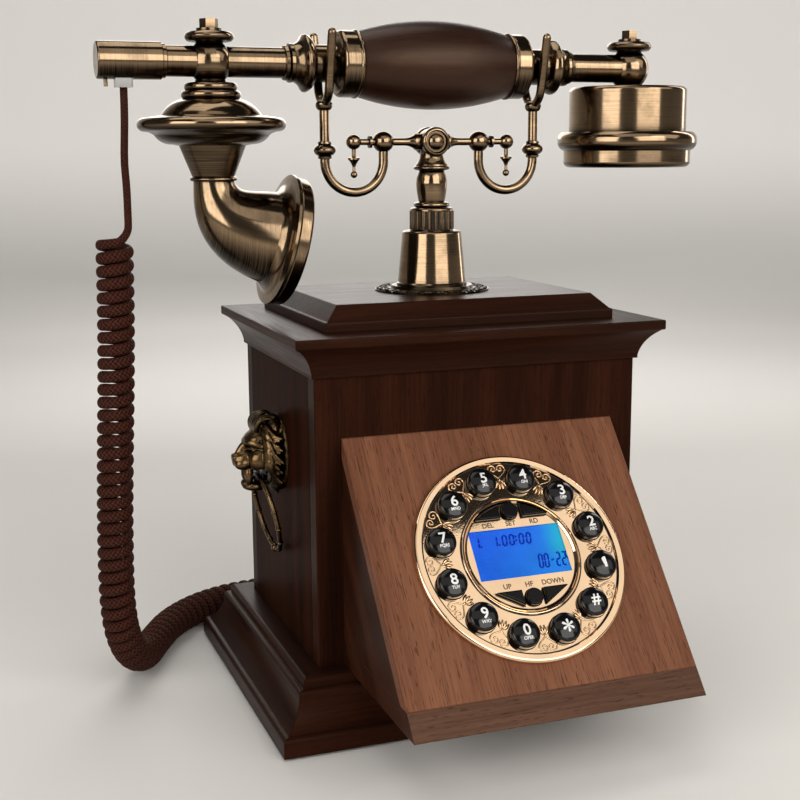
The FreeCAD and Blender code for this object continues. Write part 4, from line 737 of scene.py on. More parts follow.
# %% Brass, black keys and hidden pieces
dial_brass = make_moulded("dial_brass", srgb(240, 206, 168), 0.025, 0.05, ripple=0.02, Metallic=1.0)
key_black = make_moulded("key_black", srgb(13, 12, 12), 0.10, 0.18, Specular_IOR_Level=0.4)
function_black = make_moulded("function_black", srgb(11, 10, 10), 0.12, 0.2, Specular_IOR_Level=0.15)
felt = make_moulded("base_felt", srgb(28, 26, 25), 0.85, 0.95, ripple=0.6, Sheen_Weight=0.4)
dark_plastic = make_moulded("dark_plastic", srgb(34, 33, 33), 0.35, 0.5, ripple=0.15)
board_green = make_moulded("board_green", srgb(24, 66, 40), 0.4, 0.55)
steel = make_moulded("plated_steel", srgb(176, 174, 170), 0.2, 0.35, Metallic=1.0)
rubber = make_moulded("mat_rubber", srgb(46, 45, 46), 0.6, 0.75, ripple=0.1)
clear = make_moulded("clear_plug", srgb(150, 149, 146), 0.06, 0.14, Transmission_Weight=0.6, IOR=1.5)
glass = make_moulded("display_glass", srgb(250, 250, 250), 0.02, 0.04, ripple=0.0,
                     Transmission_Weight=1.0, IOR=1.12)
paint(dial_brass, "dial_plate", "display_plate")
function_keys = sorted(name for name in nodes if name.startswith(("key_upper", "key_lower")))
dial_keys = sorted(name for name in nodes if name.startswith("key_") and name not in function_keys)
paint(key_black, *dial_keys)
paint(function_black, *function_keys)
paint(felt, "base_felt")
paint(dark_plastic, "bottom_cover", "modular_jacks", "ringer_speaker", "handset_capsules")
paint(board_green, "circuit_boards")
paint(steel, "case_screws", "hook_spring")
paint(rubber, "keypad_mat")
paint(clear, "base_plug", "handset_plug")
paint(glass, "display_window")

# %% [markdown]
# ## Dial places
# Everything printed on the dial lies on a sloping plane. A small function turns dial places, across,
# up the slope and out of it in millimetres, into the frame; a flat drawing is made a mesh first and
# then carried there point by point. Drawings that belong together are gathered into one piece, and
# validate drops the odd doubled triangle that lettering leaves.

# %% From dial to frame
DIAL_MIDDLE = Vector((0.5, -103.45, 87.9))
DIAL_RIGHT, DIAL_UP, DIAL_OUT = Vector(X_AXIS), Vector(SLOPE), Vector(FACE_OUT)


def on_dial(across, up, out):
    return (DIAL_MIDDLE + DIAL_RIGHT * across + DIAL_UP * up + DIAL_OUT * out) * MM


def place_piece(name, verts, faces, material, body, slot):
    mesh = bpy.data.meshes.new(name)
    mesh.from_pydata([tuple(v) for v in verts], [], faces)
    mesh.validate()
    mesh.materials.append(material)
    piece = add_object(name, mesh)
    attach(piece, body)
    return piece


def gather(parts):
    verts, faces = [], []
    for part_verts, part_faces in parts:
        first = len(verts)
        verts += part_verts
        faces += [tuple(first + corner for corner in face) for face in part_faces]
    return verts, faces


print("dial middle:", on_dial(0, 0, 0))

# %% [markdown]
# ## The dial's leaning rim
# The rim of the dial leans in by a few degrees, like the edge of a saucer, and so it mirrors the lamp all
# the way round. A slope that small needs no new mesh: a bump raises the brass with its distance from the
# dial's middle, from the rim's inner edge to its outer one.

# %% Lean the rim
RIM_IN, RIM_OUT, RIM_SLOPE = 45.9 * MM, 48.2 * MM, 0.061


def lean_rim(material):
    tree = material.node_tree
    ripple = next(made for made in tree.nodes if made.type == "BUMP")
    from_middle = vector_node(tree, "SUBTRACT", object_place(tree), DIAL_MIDDLE * MM)
    radius = vector_length(tree, vector_node(tree, "CROSS_PRODUCT", from_middle, FACE_OUT))
    rise = math_node(tree, "MINIMUM", math_node(tree, "MAXIMUM", radius, RIM_IN), RIM_OUT)
    fill(tree, ripple, {"Normal": bump(tree, rise, 1.0, RIM_SLOPE)})


lean_rim(dial_brass)
print("rim leans", round(math.degrees(math.atan(RIM_SLOPE)), 1), "degrees")

# %% [markdown]
# ## Numerals
# The white numerals follow the domes they are printed on. A text object is made a flat mesh, its
# triangles are cut small, and each point is then lifted to the height of the dome below it. Every
# numeral rides on its own key, so it goes down when the key is pressed.

# %% Flat lettering as a fine mesh
ONE_OUTLINE = [(-0.10, -0.5), (0.12, -0.5), (0.12, 0.5), (-0.04, 0.5), (-0.28, 0.34), (-0.28, 0.13),
               (-0.10, 0.24)]
CAPITAL_SHARE = 0.72


def centred(places):
    low = Vector((min(p.x for p in places), min(p.y for p in places), 0))
    high = Vector((max(p.x for p in places), max(p.y for p in places), 0))
    return [p - (low + high) / 2 for p in places]


def flat_text(words, height, weight, edge):
    font = bpy.data.curves.new("lettering", "FONT")
    font.body = words
    font.align_x, font.align_y = "CENTER", "CENTER"
    font.size = height / CAPITAL_SHARE
    font.offset = weight
    maker = add_object("lettering", font)
    bpy.context.view_layer.update()
    mesh = bpy.data.meshes.new_from_object(maker)
    bpy.data.objects.remove(maker)
    bpy.data.curves.remove(font)
    work = bmesh.new()
    work.from_mesh(mesh)
    bpy.data.meshes.remove(mesh)
    bmesh.ops.remove_doubles(work, verts=work.verts, dist=1e-5)
    return cut_fine(work, edge)


def flat_one(height, edge):
    work = bmesh.new()
    work.faces.new([work.verts.new((x * height, y * height, 0)) for x, y in ONE_OUTLINE])
    bmesh.ops.triangulate(work, faces=work.faces)
    return cut_fine(work, edge)


def cut_fine(work, edge):
    for _ in range(4):
        long_edges = [e for e in work.edges if e.calc_length() > edge]
        if not long_edges:
            break
        bmesh.ops.subdivide_edges(work, edges=long_edges, cuts=1)
        bmesh.ops.triangulate(work, faces=work.faces)
    work.verts.index_update()
    places = centred([v.co.copy() for v in work.verts])
    faces = [tuple(v.index for v in f.verts) for f in work.faces]
    work.free()
    return places, faces


print("lettering ready")

# %% Print the dial's numerals
KEY_CIRCLE, KEY_PHASE, KEY_STEP = 37.2, -15.0, 30.0
DOME_RADIUS, DOME_CENTRE, PRINT_LIFT = 13.0, -5.96, 0.05
KEY_PRINT = [("key_1", "1", ""), ("key_2", "2", "ABC"), ("key_3", "3", "DEF"), ("key_4", "4", "GHI"),
             ("key_5", "5", "JKL"), ("key_6", "6", "MNO"), ("key_7", "7", "PQRS"), ("key_8", "8", "TUV"),
             ("key_9", "9", "WXY"), ("key_0", "0", "OPER"), ("key_star", "*", ""), ("key_hash", "#", "")]
NUMERAL_HEIGHT, STAR_HEIGHT, NUMERAL_WEIGHT, NUMERAL_EDGE, NUMERAL_RISE = 5.0, 9.0, 0.13, 0.5, 0.8
LETTER_HEIGHT, LETTER_WEIGHT, LETTER_EDGE, LETTER_RISE = 1.35, 0.04, 0.4, -2.9
print_white = make_moulded("print_white", srgb(238, 238, 236), 0.4, 0.5)


def on_dome(lettering, middle, rise):
    places, faces = lettering
    verts = []
    for spot in places:
        x, y = spot.x, spot.y + rise
        dome = DOME_CENTRE + math.sqrt(DOME_RADIUS ** 2 - x * x - y * y)
        verts.append(on_dial(middle.x + x, middle.y + y, dome + PRINT_LIFT))
    return verts, faces


def print_key(key, numeral, letters, angle):
    middle = Vector((math.cos(angle), math.sin(angle))) * KEY_CIRCLE
    if numeral == "1":
        large = flat_one(NUMERAL_HEIGHT, NUMERAL_EDGE)
    else:
        height = STAR_HEIGHT if numeral == "*" else NUMERAL_HEIGHT
        large = flat_text(numeral, height, NUMERAL_WEIGHT, NUMERAL_EDGE)
    parts = [on_dome(large, middle, NUMERAL_RISE if letters else 0.0)]
    if letters:
        small = flat_text(letters, LETTER_HEIGHT, LETTER_WEIGHT, LETTER_EDGE)
        parts.append(on_dome(small, middle, LETTER_RISE))
    name = key.replace("key_", "numeral_")
    place_piece(name, *gather(parts), print_white, key + "_body", "key_black")


for index, (key, numeral, letters) in enumerate(KEY_PRINT):
    print_key(key, numeral, letters, math.radians(KEY_PHASE + KEY_STEP * index))
print("numerals:", len(KEY_PRINT))

# %% [markdown]
# ## Words on the display plate
# Three short words stand above the display and three below it, in the brown of an etched line. They
# are flat, so their meshes only need to be carried to the plate.

# %% Print the words
PLATE_TOP, ETCH_LIFT = 1.8, 0.04
WORD_HEIGHT, WORD_WEIGHT, WORD_EDGE = 2.3, 0.07, 9.0
etched_brown = make_moulded("etched_brown", srgb(96, 74, 55), 0.4, 0.55, Metallic=0.3)
WORDS = [("DEL", -11.6, 15.6), ("SET", -0.6, 15.6), ("RD", 10.8, 15.6),
         ("UP", -10.6, -13.6), ("HF", -0.2, -13.6), ("DOWN", 11.2, -13.6)]


def print_word(words, across, up):
    places, faces = flat_text(words, WORD_HEIGHT, WORD_WEIGHT, WORD_EDGE)
    verts = [on_dial(across + p.x, up + p.y, PLATE_TOP + ETCH_LIFT) for p in places]
    place_piece("word_" + words.lower(), verts, faces, etched_brown, "case", "dial_brass")


for words, across, up in WORDS:
    print_word(words, across, up)
print("words:", len(WORDS))

# %% [markdown]
# ## Scroll ornament
# Between each pair of keys the dial carries a small raised ornament: a heart of two scrolls with a
# leaf sprig below it. It is drawn once, as a few smooth curves with the radius of the dial upwards,
# and a geometry tree gives the lines their thickness and repeats them twelve times round the dial.

# %% Draw one ornament
HALF_HEART = [(0, 37.8), (0.9, 38.7), (2.6, 39.9), (4.2, 41.7), (4.0, 43.7), (2.4, 44.5), (0.7, 44.0),
              (0.35, 42.6), (1.2, 41.5), (2.4, 41.7), (2.6, 42.8), (1.8, 43.1)]
SIDE_LEAF = [(0.45, 37.0), (1.3, 36.1), (1.95, 35.0), (2.35, 33.7)]
INNER_LEAF = [(0.25, 36.4), (0.6, 35.2), (0.8, 34.1), (0.85, 32.8)]
STEM = [(0, 38.0), (0, 37.2), (0, 36.4)]
SCROLL_LINE, ORNAMENTS = 0.38 * MM, 12
DIAL_TILT = math.atan2(SLOPE[2], SLOPE[1])


def open_drawing(name):
    curve = bpy.data.curves.new(name, "CURVE")
    curve.dimensions = "3D"
    curve.resolution_u = 4
    return add_object(name, curve), curve


def draw_ornament():
    drawing, curve = open_drawing("scroll_ornament")
    for outline, swell in ((HALF_HEART, 0.0), (SIDE_LEAF, 1.2), (INNER_LEAF, 1.0)):
        for side in (1, -1):
            add_stroke(curve, [(side * across, radius) for across, radius in outline], swell)
    add_stroke(curve, STEM, 0.8)
    return drawing


def add_stroke(curve, outline, swell):
    spline = curve.splines.new("NURBS")
    spline.points.add(len(outline) - 1)
    for index, place in enumerate(outline):
        spline.points[index].co = (*(Vector(place).to_3d() * MM), 1)
        spline.points[index].radius = 1.0 + swell * math.sin(math.pi * index / (len(outline) - 1))
    spline.order_u = 3
    spline.use_endpoint_u = True


ornament = draw_ornament()
print("ornament:", len(ornament.data.splines), "strokes")

# %% Repeat it round the dial
def make_round_tree():
    inputs = [("Drawing", "NodeSocketGeometry", None), ("Line Radius", "NodeSocketFloat", 0.0003),
              ("Count", "NodeSocketInt", 12), ("Finish", "NodeSocketMaterial", None),
              ("Middle", "NodeSocketVector", None), ("Tilt", "NodeSocketFloat", 0.0)]
    outputs = [("Relief", "NodeSocketGeometry")]
    tree, given, result = open_group("round_an_axis", "GeometryNodeTree", inputs, outputs)
    outline = {"Resolution": 6, "Radius": given["Line Radius"]}
    profile = node(tree, "GeometryNodeCurvePrimitiveCircle", outline).outputs[0]
    swelling = node(tree, "GeometryNodeInputRadius").outputs[0]
    sweep = {"Curve": given["Drawing"], "Profile Curve": profile, "Scale": swelling, "Fill Caps": True}
    lines = node(tree, "GeometryNodeCurveToMesh", sweep).outputs[0]
    points = node(tree, "GeometryNodePoints", {"Count": given["Count"]}).outputs[0]
    step = math_node(tree, "DIVIDE", 2 * math.pi, given["Count"])
    angle = math_node(tree, "MULTIPLY", node(tree, "GeometryNodeInputIndex").outputs[0], step)
    turn_round = node(tree, "ShaderNodeCombineXYZ", {2: angle}).outputs[0]
    copies = {"Points": points, "Instance": lines, "Rotation": turn_round}
    spread = node(tree, "GeometryNodeInstanceOnPoints", copies).outputs[0]
    real = node(tree, "GeometryNodeRealizeInstances", {0: spread}).outputs[0]
    tilt = node(tree, "ShaderNodeCombineXYZ", {0: given["Tilt"]}).outputs[0]
    move = {"Geometry": real, "Translation": given["Middle"], "Rotation": tilt}
    laid = node(tree, "GeometryNodeTransform", move).outputs[0]
    finish = node(tree, "GeometryNodeSetMaterial", {"Geometry": laid, "Material": given["Finish"]})
    tree.links.new(finish.outputs[0], result.inputs[0])
    return tree


ROUND_TREE = make_round_tree()
print("tree:", ROUND_TREE.name)

# %% Settle the tree into a plain mesh
def settle(maker, tree, name, **values):
    grower = maker.modifiers.new("growth", "NODES")
    grower.node_group = tree
    sockets = {item.name: item.identifier for item in tree.interface.items_tree if item.in_out == "INPUT"}
    for label, value in values.items():
        grower[sockets[label.replace("_", " ")]] = value
    bpy.context.view_layer.update()
    depsgraph = bpy.context.evaluated_depsgraph_get()
    mesh = bpy.data.meshes.new_from_object(maker.evaluated_get(depsgraph))
    mesh.name = name
    maker.modifiers.remove(grower)
    bpy.data.objects.remove(maker)
    return add_object(name, mesh)


relief_brass = make_moulded("relief_brass", srgb(216, 183, 146), 0.14, 0.22, Metallic=1.0)
dial_relief = settle(ornament, ROUND_TREE, "dial_relief", Line_Radius=SCROLL_LINE, Count=ORNAMENTS,
                     Finish=relief_brass, Middle=tuple(on_dial(0, 0, PLATE_TOP)), Tilt=DIAL_TILT)


def seat(piece, body):
    shade_smooth(piece.data)
    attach(piece, body)


seat(dial_relief, "case")
print("relief:", len(dial_relief.data.polygons), "faces")

# %% [markdown]
# ## Dark lines of the dial
# Thin flat rings of near-black, half a millimetre wide or less, lie on the dial, which is why each ring of
# the dial has a crisp edge.
# Three follow its turned grooves; the fourth lies in the gap between the dial plate and the display plate, as
# a painted shadow.

# %% Lay the dark rings, one of them a painted shadow
# A dark ring is its inner radius, its outer radius and its height on the dial; the second is a painted
# shadow.
DARK_RINGS = [(44.95, 45.45, 1.84), (27.9, 28.3, 1.90), (26.45, 26.95, 2.04), (25.0, 25.35, 1.86)]
groove_and_shade_black = make_moulded("groove_and_shade_black", srgb(22, 16, 11), 0.4, 0.6)


def dark_ring(inner, outer, out, segments=160):
    verts, faces = [], []
    for step in range(segments):
        angle = 2 * math.pi * step / segments
        for radius in (inner, outer):
            verts.append(on_dial(radius * math.cos(angle), radius * math.sin(angle), out))
        here, after = 2 * step, 2 * ((step + 1) % segments)
        faces.append((here, here + 1, after + 1, after))
    return verts, faces


rings = gather(dark_ring(*groove) for groove in DARK_RINGS)
dark_dial_rings = place_piece("dark_dial_rings", *rings, groove_and_shade_black, "case", "dial_brass")
print("grooves:", len(dark_dial_rings.data.polygons), "faces")

# %% [markdown]
# ## Border of the cradle's foot
# The flange under the bronze cone has a cast border of small scrolled leaves. It repeats round an axis
# just as the dial's ornament does, so the same tree makes it from one drawn leaf.

# %% Draw and repeat the leaf
FLANGE_TOP, LEAF_LINE, LEAVES = 197.35, 0.42 * MM, 30
LEAF_SCROLL = [(-1.6, 21.8), (0.4, 21.6), (1.9, 22.9), (1.5, 24.6), (0.1, 24.9), (-0.5, 23.9), (0.3, 23.3)]
LEAF_BLADE = [(-1.5, 27.3), (-0.4, 26.3), (1.2, 26.2), (2.6, 27.2)]


def draw_leaf():
    drawing, curve = open_drawing("leaf_border")
    add_stroke(curve, LEAF_SCROLL, 0.3)
    add_stroke(curve, LEAF_BLADE, 0.9)
    return drawing


flange_relief = settle(draw_leaf(), ROUND_TREE, "flange_relief", Line_Radius=LEAF_LINE, Count=LEAVES,
                       Finish=black_bronze, Middle=(0, 0, FLANGE_TOP * MM), Tilt=0.0)
seat(flange_relief, "case")
print("flange border:", len(flange_relief.data.polygons), "faces")

# %% Ribs of the collar, and painted shade in its flutes
RIB_HEIGHTS = (226.3, 231.0, 235.1)
RIB_CIRCLE, FLUTE_CIRCLE, RIBS = 10.2, 9.85, 20
RIB_LINE, FLUTE_SHADE_LINE = 0.85 * MM, 0.5 * MM


def draw_upright(name, radius, bearing):
    drawing, curve = open_drawing(name)
    across, out = radius * math.sin(bearing), radius * math.cos(bearing)
    add_stroke(curve, [(across, out, height) for height in RIB_HEIGHTS], 0.0)
    return drawing


# The flutes get thin near-black strips laid along them: painted shade, as if the flutes were deep.
rib, flute_shade = draw_upright("rib", RIB_CIRCLE, math.pi / RIBS), draw_upright("flute_shade", FLUTE_CIRCLE, 0.0)
collar_ribs = settle(rib, ROUND_TREE, "collar_ribs", Line_Radius=RIB_LINE, Count=RIBS,
                     Finish=upright_bronze, Middle=(0, 0, 0), Tilt=0.0)
flute_shade_strips = settle(flute_shade, ROUND_TREE, "flute_shade_strips", Line_Radius=FLUTE_SHADE_LINE, Count=RIBS,
                     Finish=groove_and_shade_black, Middle=(0, 0, 0), Tilt=0.0)
for piece in (collar_ribs, flute_shade_strips):
    seat(piece, "case")
    print(piece.name, len(piece.data.polygons), "faces")

# %% [markdown]
# ## Display
# The backlit display is blue, a little deeper on the left and running to cyan at the right edge where
# its lamp sits. The glow is the shader's emission, with a soft mix of tones over the surface, and the
# figures are the usual seven bars, drawn as flat slanted hexagons just above it.

# %% Backlight
def make_backlight():
    material, tree, shader = open_material("display_backlight")
    place = object_place(tree)
    parts = split(tree, place)
    across = remap(tree, parts[0], -0.022, 0.023)
    up = remap(tree, parts[2], 0.080, 0.100)
    sides = mix_colour(tree, across, srgb(22, 98, 226), srgb(32, 132, 230))
    near_lamp = remap(tree, parts[0], 0.011, 0.024)
    edge = math_node(tree, "MULTIPLY", near_lamp, remap(tree, parts[2], 0.082, 0.092))
    lit = mix_colour(tree, edge, sides, srgb(40, 206, 206))
    deep = mix_colour(tree, math_node(tree, "MULTIPLY", up, 0.35), lit, srgb(36, 84, 238))
    grain = noise(tree, place, 350.0, 2.0)
    glow = mix_colour(tree, remap(tree, grain, 0.3, 0.9, 0.0, 0.12), deep, srgb(70, 140, 250))
    fill(tree, shader, {"Base Color": srgb(6, 14, 40), "Roughness": 0.4, "Specular IOR Level": 0.0,
                        "Emission Color": glow, "Emission Strength": 1.0})
    return material


paint(make_backlight(), "lcd_module")

# %% Seven-bar figures
BARS = {"0": "abcdef", "1": "bc", "2": "abged", "-": "g"}
DOTS = {".": (0.0,), ":": (0.3, 0.7)}
LCD_TOP, SLANT, DOT_STEP = -0.16, 0.12, 0.35
liquid_blue = make_moulded("liquid_figures", srgb(6, 12, 60), 0.5, 0.6, Specular_IOR_Level=0.0,
                           Emission_Color=srgb(8, 36, 178), Emission_Strength=0.8)


def bar_corners(bar, wide, tall, thick):
    half, inset, point = thick / 2, thick * 0.08, thick * 0.22
    spans = {"a": (0, tall, wide, tall), "g": (0, tall / 2, wide, tall / 2), "d": (0, 0, wide, 0),
             "f": (0, tall / 2, 0, tall), "b": (wide, tall / 2, wide, tall),
             "e": (0, 0, 0, tall / 2), "c": (wide, 0, wide, tall / 2)}
    x0, y0, x1, y1 = spans[bar]
    if y0 == y1:
        x0, x1 = x0 + inset, x1 - inset
        return [(x0, y0), (x0 + point, y0 + half), (x1 - point, y0 + half), (x1, y0), (x1 - point, y0 - half),
                (x0 + point, y0 - half)]
    y0, y1 = y0 + inset, y1 - inset
    return [(x0, y0), (x0 - half, y0 + point), (x0 - half, y1 - point), (x0, y1), (x0 + half, y1 - point),
            (x0 + half, y0 + point)]


def figures(text, left, foot, wide, tall, step, thick):
    verts, faces = [], []

    def lay(corners):
        first = len(verts)
        verts.extend(on_dial(left + x + SLANT * y, foot + y, LCD_TOP) for x, y in corners)
        faces.append(tuple(range(first, first + len(corners))))

    pen = 0.0
    for mark in text:
        if mark in BARS:
            for bar in BARS[mark]:
                lay([(pen + x, y) for x, y in bar_corners(bar, wide, tall, thick)])
            pen += step
        else:
            for height in DOTS[mark]:
                low, high = tall * height, tall * height + thick
                lay([(pen - thick, low), (pen, low), (pen, high), (pen - thick, high)])
            pen += step * DOT_STEP
    return verts, faces


# A row is its text, left and foot, then the width, height, step and thickness of its figures.
ROWS = [("1.", -19.4, 6.1, 1.8, 4.6, 3.3, 0.9), ("1.00:00", -10.9, 6.1, 1.9, 4.6, 3.5, 0.9),
        ("00-22", 8.2, -6.2, 1.7, 6.1, 2.85, 0.85)]
drawn_rows = gather(figures(*row) for row in ROWS)
lit_figures = place_piece("display_figures", *drawn_rows, liquid_blue, "case", "lcd")
print("display figures:", len(lit_figures.data.polygons), "bars and dots")

# %% [markdown]
# ## Lion heads
# A cast lion mask holds a ring on each side of the case. A casting has no seams, so the head is built
# as a heap of overlapping masses, skull, brow, muzzle, jaw and many curved locks of mane, and a voxel
# remesh melts them into one skin that is smoothed once. The hole for the ring is cut through the open
# mouth afterwards, where the ring needs its room to swing.

# %% Masses and locks
def add_mass(work, out, across, rise, deep, wide, tall, pitch=0.0):
    ball = bmesh.ops.create_icosphere(work, subdivisions=3, radius=1.0)
    shape = (Matrix.Translation((out, across, rise)) @ Matrix.Rotation(math.radians(pitch), 4, "Y")
             @ Matrix.Diagonal((deep, wide, tall, 1.0)))
    bmesh.ops.transform(work, matrix=shape, verts=ball["verts"])


def add_lock(work, places, thick, tip, sides=8, count=13):
    share = np.linspace(0, 1, count)[:, None]
    layers = [np.array(place, float) * np.ones_like(share) for place in places]
    while len(layers) > 1:
        layers = [first * (1 - share) + second * share for first, second in zip(layers, layers[1:])]
    line = layers[0]
    _, normals, across = carried_frames(line, (0.3, 0.2, 1.0))
    swell = thick * (0.55 + 0.9 * np.sin(np.pi * np.linspace(0.12, 0.95, count))) * np.linspace(1, tip, count)
    rings = []
    for index in range(count):
        ring = []
        for side in range(sides):
            bearing = 2 * math.pi * side / sides
            offset = normals[index] * math.cos(bearing) + across[index] * math.sin(bearing)
            ring.append(work.verts.new(line[index] + swell[index] * offset))
        rings.append(ring)
    for lower, upper in zip(rings, rings[1:]):
        for side in range(sides):
            work.faces.new((lower[side], lower[(side + 1) % sides], upper[(side + 1) % sides], upper[side]))
    work.faces.new(list(reversed(rings[0])))
    work.faces.new(rings[-1])


# A mass is a place (out, across, up), its half sizes (deep, wide, tall) and a pitch in degrees.
HEAD_MASSES = [(4, 0, 1, 8, 11, 13, 0), (11.8, 0, 8.4, 6.8, 7.8, 4.2, 24),
               (15.8, 0, -1.4, 8.3, 5.6, 5.0, 8), (22.9, 0, -0.6, 1.3, 3.2, 1.9, 0),
               (12.5, 0, 3.4, 5.0, 3.6, 4.0, 0), (12.4, 0, -15.4, 6.8, 5.0, 2.7, 0),
               (17.2, 0, -13.9, 2.6, 3.4, 2.3, 0), (0, 0, 0.5, 4.6, 16.6, 19, 0),
               (4.0, 0, 13.0, 6.0, 10.5, 6.6, 0)]
PAIRED_MASSES = [(14.6, 4.9, 3.9, 1.4, 1.6, 1.1, 0), (18.6, 2.6, -3.6, 4.6, 3.2, 3.2, 6),
                 (10.0, 6.4, -1.6, 7.0, 4.8, 6.2, 0), (3.5, 7.6, -12, 4.6, 4.0, 5.2, 0),
                 (16.4, 3.7, -9.4, 2.3, 1.9, 4.6, 0)]
# A sweep is its places, its thickness and the share of that at its tip.
FACE_SWEEPS = [([(14.0, 0, 7.6), (18.0, 0, 4.4), (22.0, 0, 0.2)], 1.7, 0.9)]
PAIRED_SWEEPS = [([(17.4, 1.4, 6.2), (15.6, 5.8, 8.0), (9.0, 9.4, 4.2)], 1.5, 0.8),
                 ([(16.5, 5.0, 0.8), (11.5, 9.0, 1.4), (6.0, 10.6, -5.0)], 1.2, 1.3)]
print("masses of the head:", len(HEAD_MASSES) + 2 * len(PAIRED_MASSES))

# %% Mane
LOCKS, LOCK_STEP = 9, 17
LOCK_THICK, HAIR_THICK, TUFT_THICK, TIP = 1.9, 0.75, 1.35, 0.6
TUFTS = ((1.2, 20.4, 5.0), (3.7, 19.0, 3.0), (6.1, 18.4, 5.5))
HAIRS = ((3.5, 1.5), (10.0, 1.7))


def mane_place(degrees, reach, out, hand):
    bearing = math.radians(degrees)
    return (out, hand * reach * math.sin(bearing), 1.08 * reach * math.cos(bearing) + 0.5)


def add_mane(work):
    for hand in (1, -1):
        for index in range(LOCKS):
            start = 2 + LOCK_STEP * index
            flat = min(1.0, max(0.62, 1.0 - (start - 70) / 100))
            lock = [(start, 10.5, 8.4 * flat), (start + 26, 18.8, 8.8 * flat), (start + 44, 12.6, 9.0 * flat),
                    (start + 60, 18.6 - 0.8 * (index % 2), 2.6)]
            add_lock(work, [mane_place(*place, hand) for place in lock], LOCK_THICK, TIP)
            for shift, lift in HAIRS:
                over = [(degrees + shift, reach * 0.97, out + lift) for degrees, reach, out in lock]
                add_lock(work, [mane_place(*place, hand) for place in over], HAIR_THICK, TIP)
        for across, rise, back in TUFTS:
            side = hand * across
            add_lock(work, [(12.0, side * 0.7, 11.0), (14.4, side, 15.4), (11.4, side * 1.25, rise + 1.6),
                            (back, side * 1.5, rise)], TUFT_THICK, TIP)


print("locks of the mane:", 2 * (LOCKS * (1 + len(HAIRS)) + len(TUFTS)))

# %% Melt the masses into one skin
VOXEL = 0.45


def make_head(name):
    work = bmesh.new()
    for mass in HEAD_MASSES:
        add_mass(work, *mass)
    for out, across, rise, deep, wide, tall, pitch in PAIRED_MASSES:
        for hand in (1, -1):
            add_mass(work, out, hand * across, rise, deep, wide, tall, pitch)
    for places, thick, tip in FACE_SWEEPS:
        add_lock(work, places, thick, tip)
    for places, thick, tip in PAIRED_SWEEPS:
        for hand in (1, -1):
            add_lock(work, [(out, hand * across, rise) for out, across, rise in places], thick, tip)
    add_mane(work)
    bmesh.ops.recalc_face_normals(work, faces=work.faces)
    head = add_object(name, close_mesh(work, name))
    melt = head.modifiers.new("melt", "REMESH")
    melt.mode = "VOXEL"
    melt.voxel_size = VOXEL
    soften = head.modifiers.new("soften", "SMOOTH")
    soften.factor, soften.iterations = 0.5, 3
    return head


head = make_head("lion_mask")
print("head before melting:", len(head.data.polygons), "faces")

# %% Cut the mouth
MOUTH_OUT, MOUTH_RISE, MOUTH_SIDES, BACK_SIZE = 11.6, -10.0, 36, 60
MOUTH_PROFILE = [(-35, 4.6), (-9, 4.6), (-6.5, 3.9), (-4, 3.2), (0, 2.9), (4, 3.2), (6.5, 3.9), (9, 4.6),
                 (35, 4.6)]


def cut_away(head, cutter_mesh):
    cutter = add_object("cutter", cutter_mesh)
    carve = head.modifiers.new("carve", "BOOLEAN")
    carve.operation, carve.solver, carve.object = "DIFFERENCE", "EXACT", cutter
    bpy.context.view_layer.update()
    mesh = bpy.data.meshes.new_from_object(head.evaluated_get(bpy.context.evaluated_depsgraph_get()))
    head.modifiers.clear()
    bpy.data.objects.remove(cutter)
    return mesh


def mouth_and_back():
    work = bmesh.new()
    places = [(MOUTH_OUT, along, MOUTH_RISE + radius) for along, radius in MOUTH_PROFILE]
    turn_profile(work, places, (MOUTH_OUT, 0, MOUTH_RISE), (0, 1, 0), MOUTH_SIDES)
    bmesh.ops.holes_fill(work, edges=[edge for edge in work.edges if edge.is_boundary])
    bmesh.ops.recalc_face_normals(work, faces=work.faces)
    bmesh.ops.create_cube(work, size=BACK_SIZE, matrix=Matrix.Translation((-BACK_SIZE / 2, 0, 0)))
    return close_mesh(work, "cutter")


carved = cut_away(head, mouth_and_back())
print("carved head:", len(carved.polygons), "faces")

# %% Set the heads on the case
HEAD_HEIGHT, PANEL_OUT = 120.0, 80.0


def set_heads():
    pair = bmesh.new()
    for side in (-1, 1):
        copy = carved.copy()
        place = (Matrix.Diagonal((MM, MM, MM, 1)) @ Matrix.Translation((side * PANEL_OUT, 0, HEAD_HEIGHT))
                 @ Matrix.Diagonal((side, 1, 1, 1)))
        copy.transform(place)
        if side < 0:
            copy.flip_normals()
        pair.from_mesh(copy)
        bpy.data.meshes.remove(copy)
    mesh = close_mesh(pair, "lion_masks")
    shade_smooth(mesh)
    mesh.materials.append(cast_bronze)
    masks = add_object("lion_masks", mesh)
    bpy.data.objects.remove(head)
    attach(masks, "case")
    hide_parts("lion_heads")
    return masks


masks = set_heads()
print("lion masks:", len(masks.data.polygons), "faces")

# %% [markdown]
# ## Rings in the lions' mouths
# The ring is a slim cast wire with small collars along it and a knot below. It follows a circle, so a
# geometry tree sweeps the wire along that circle and sets a collar at each of a few even places.

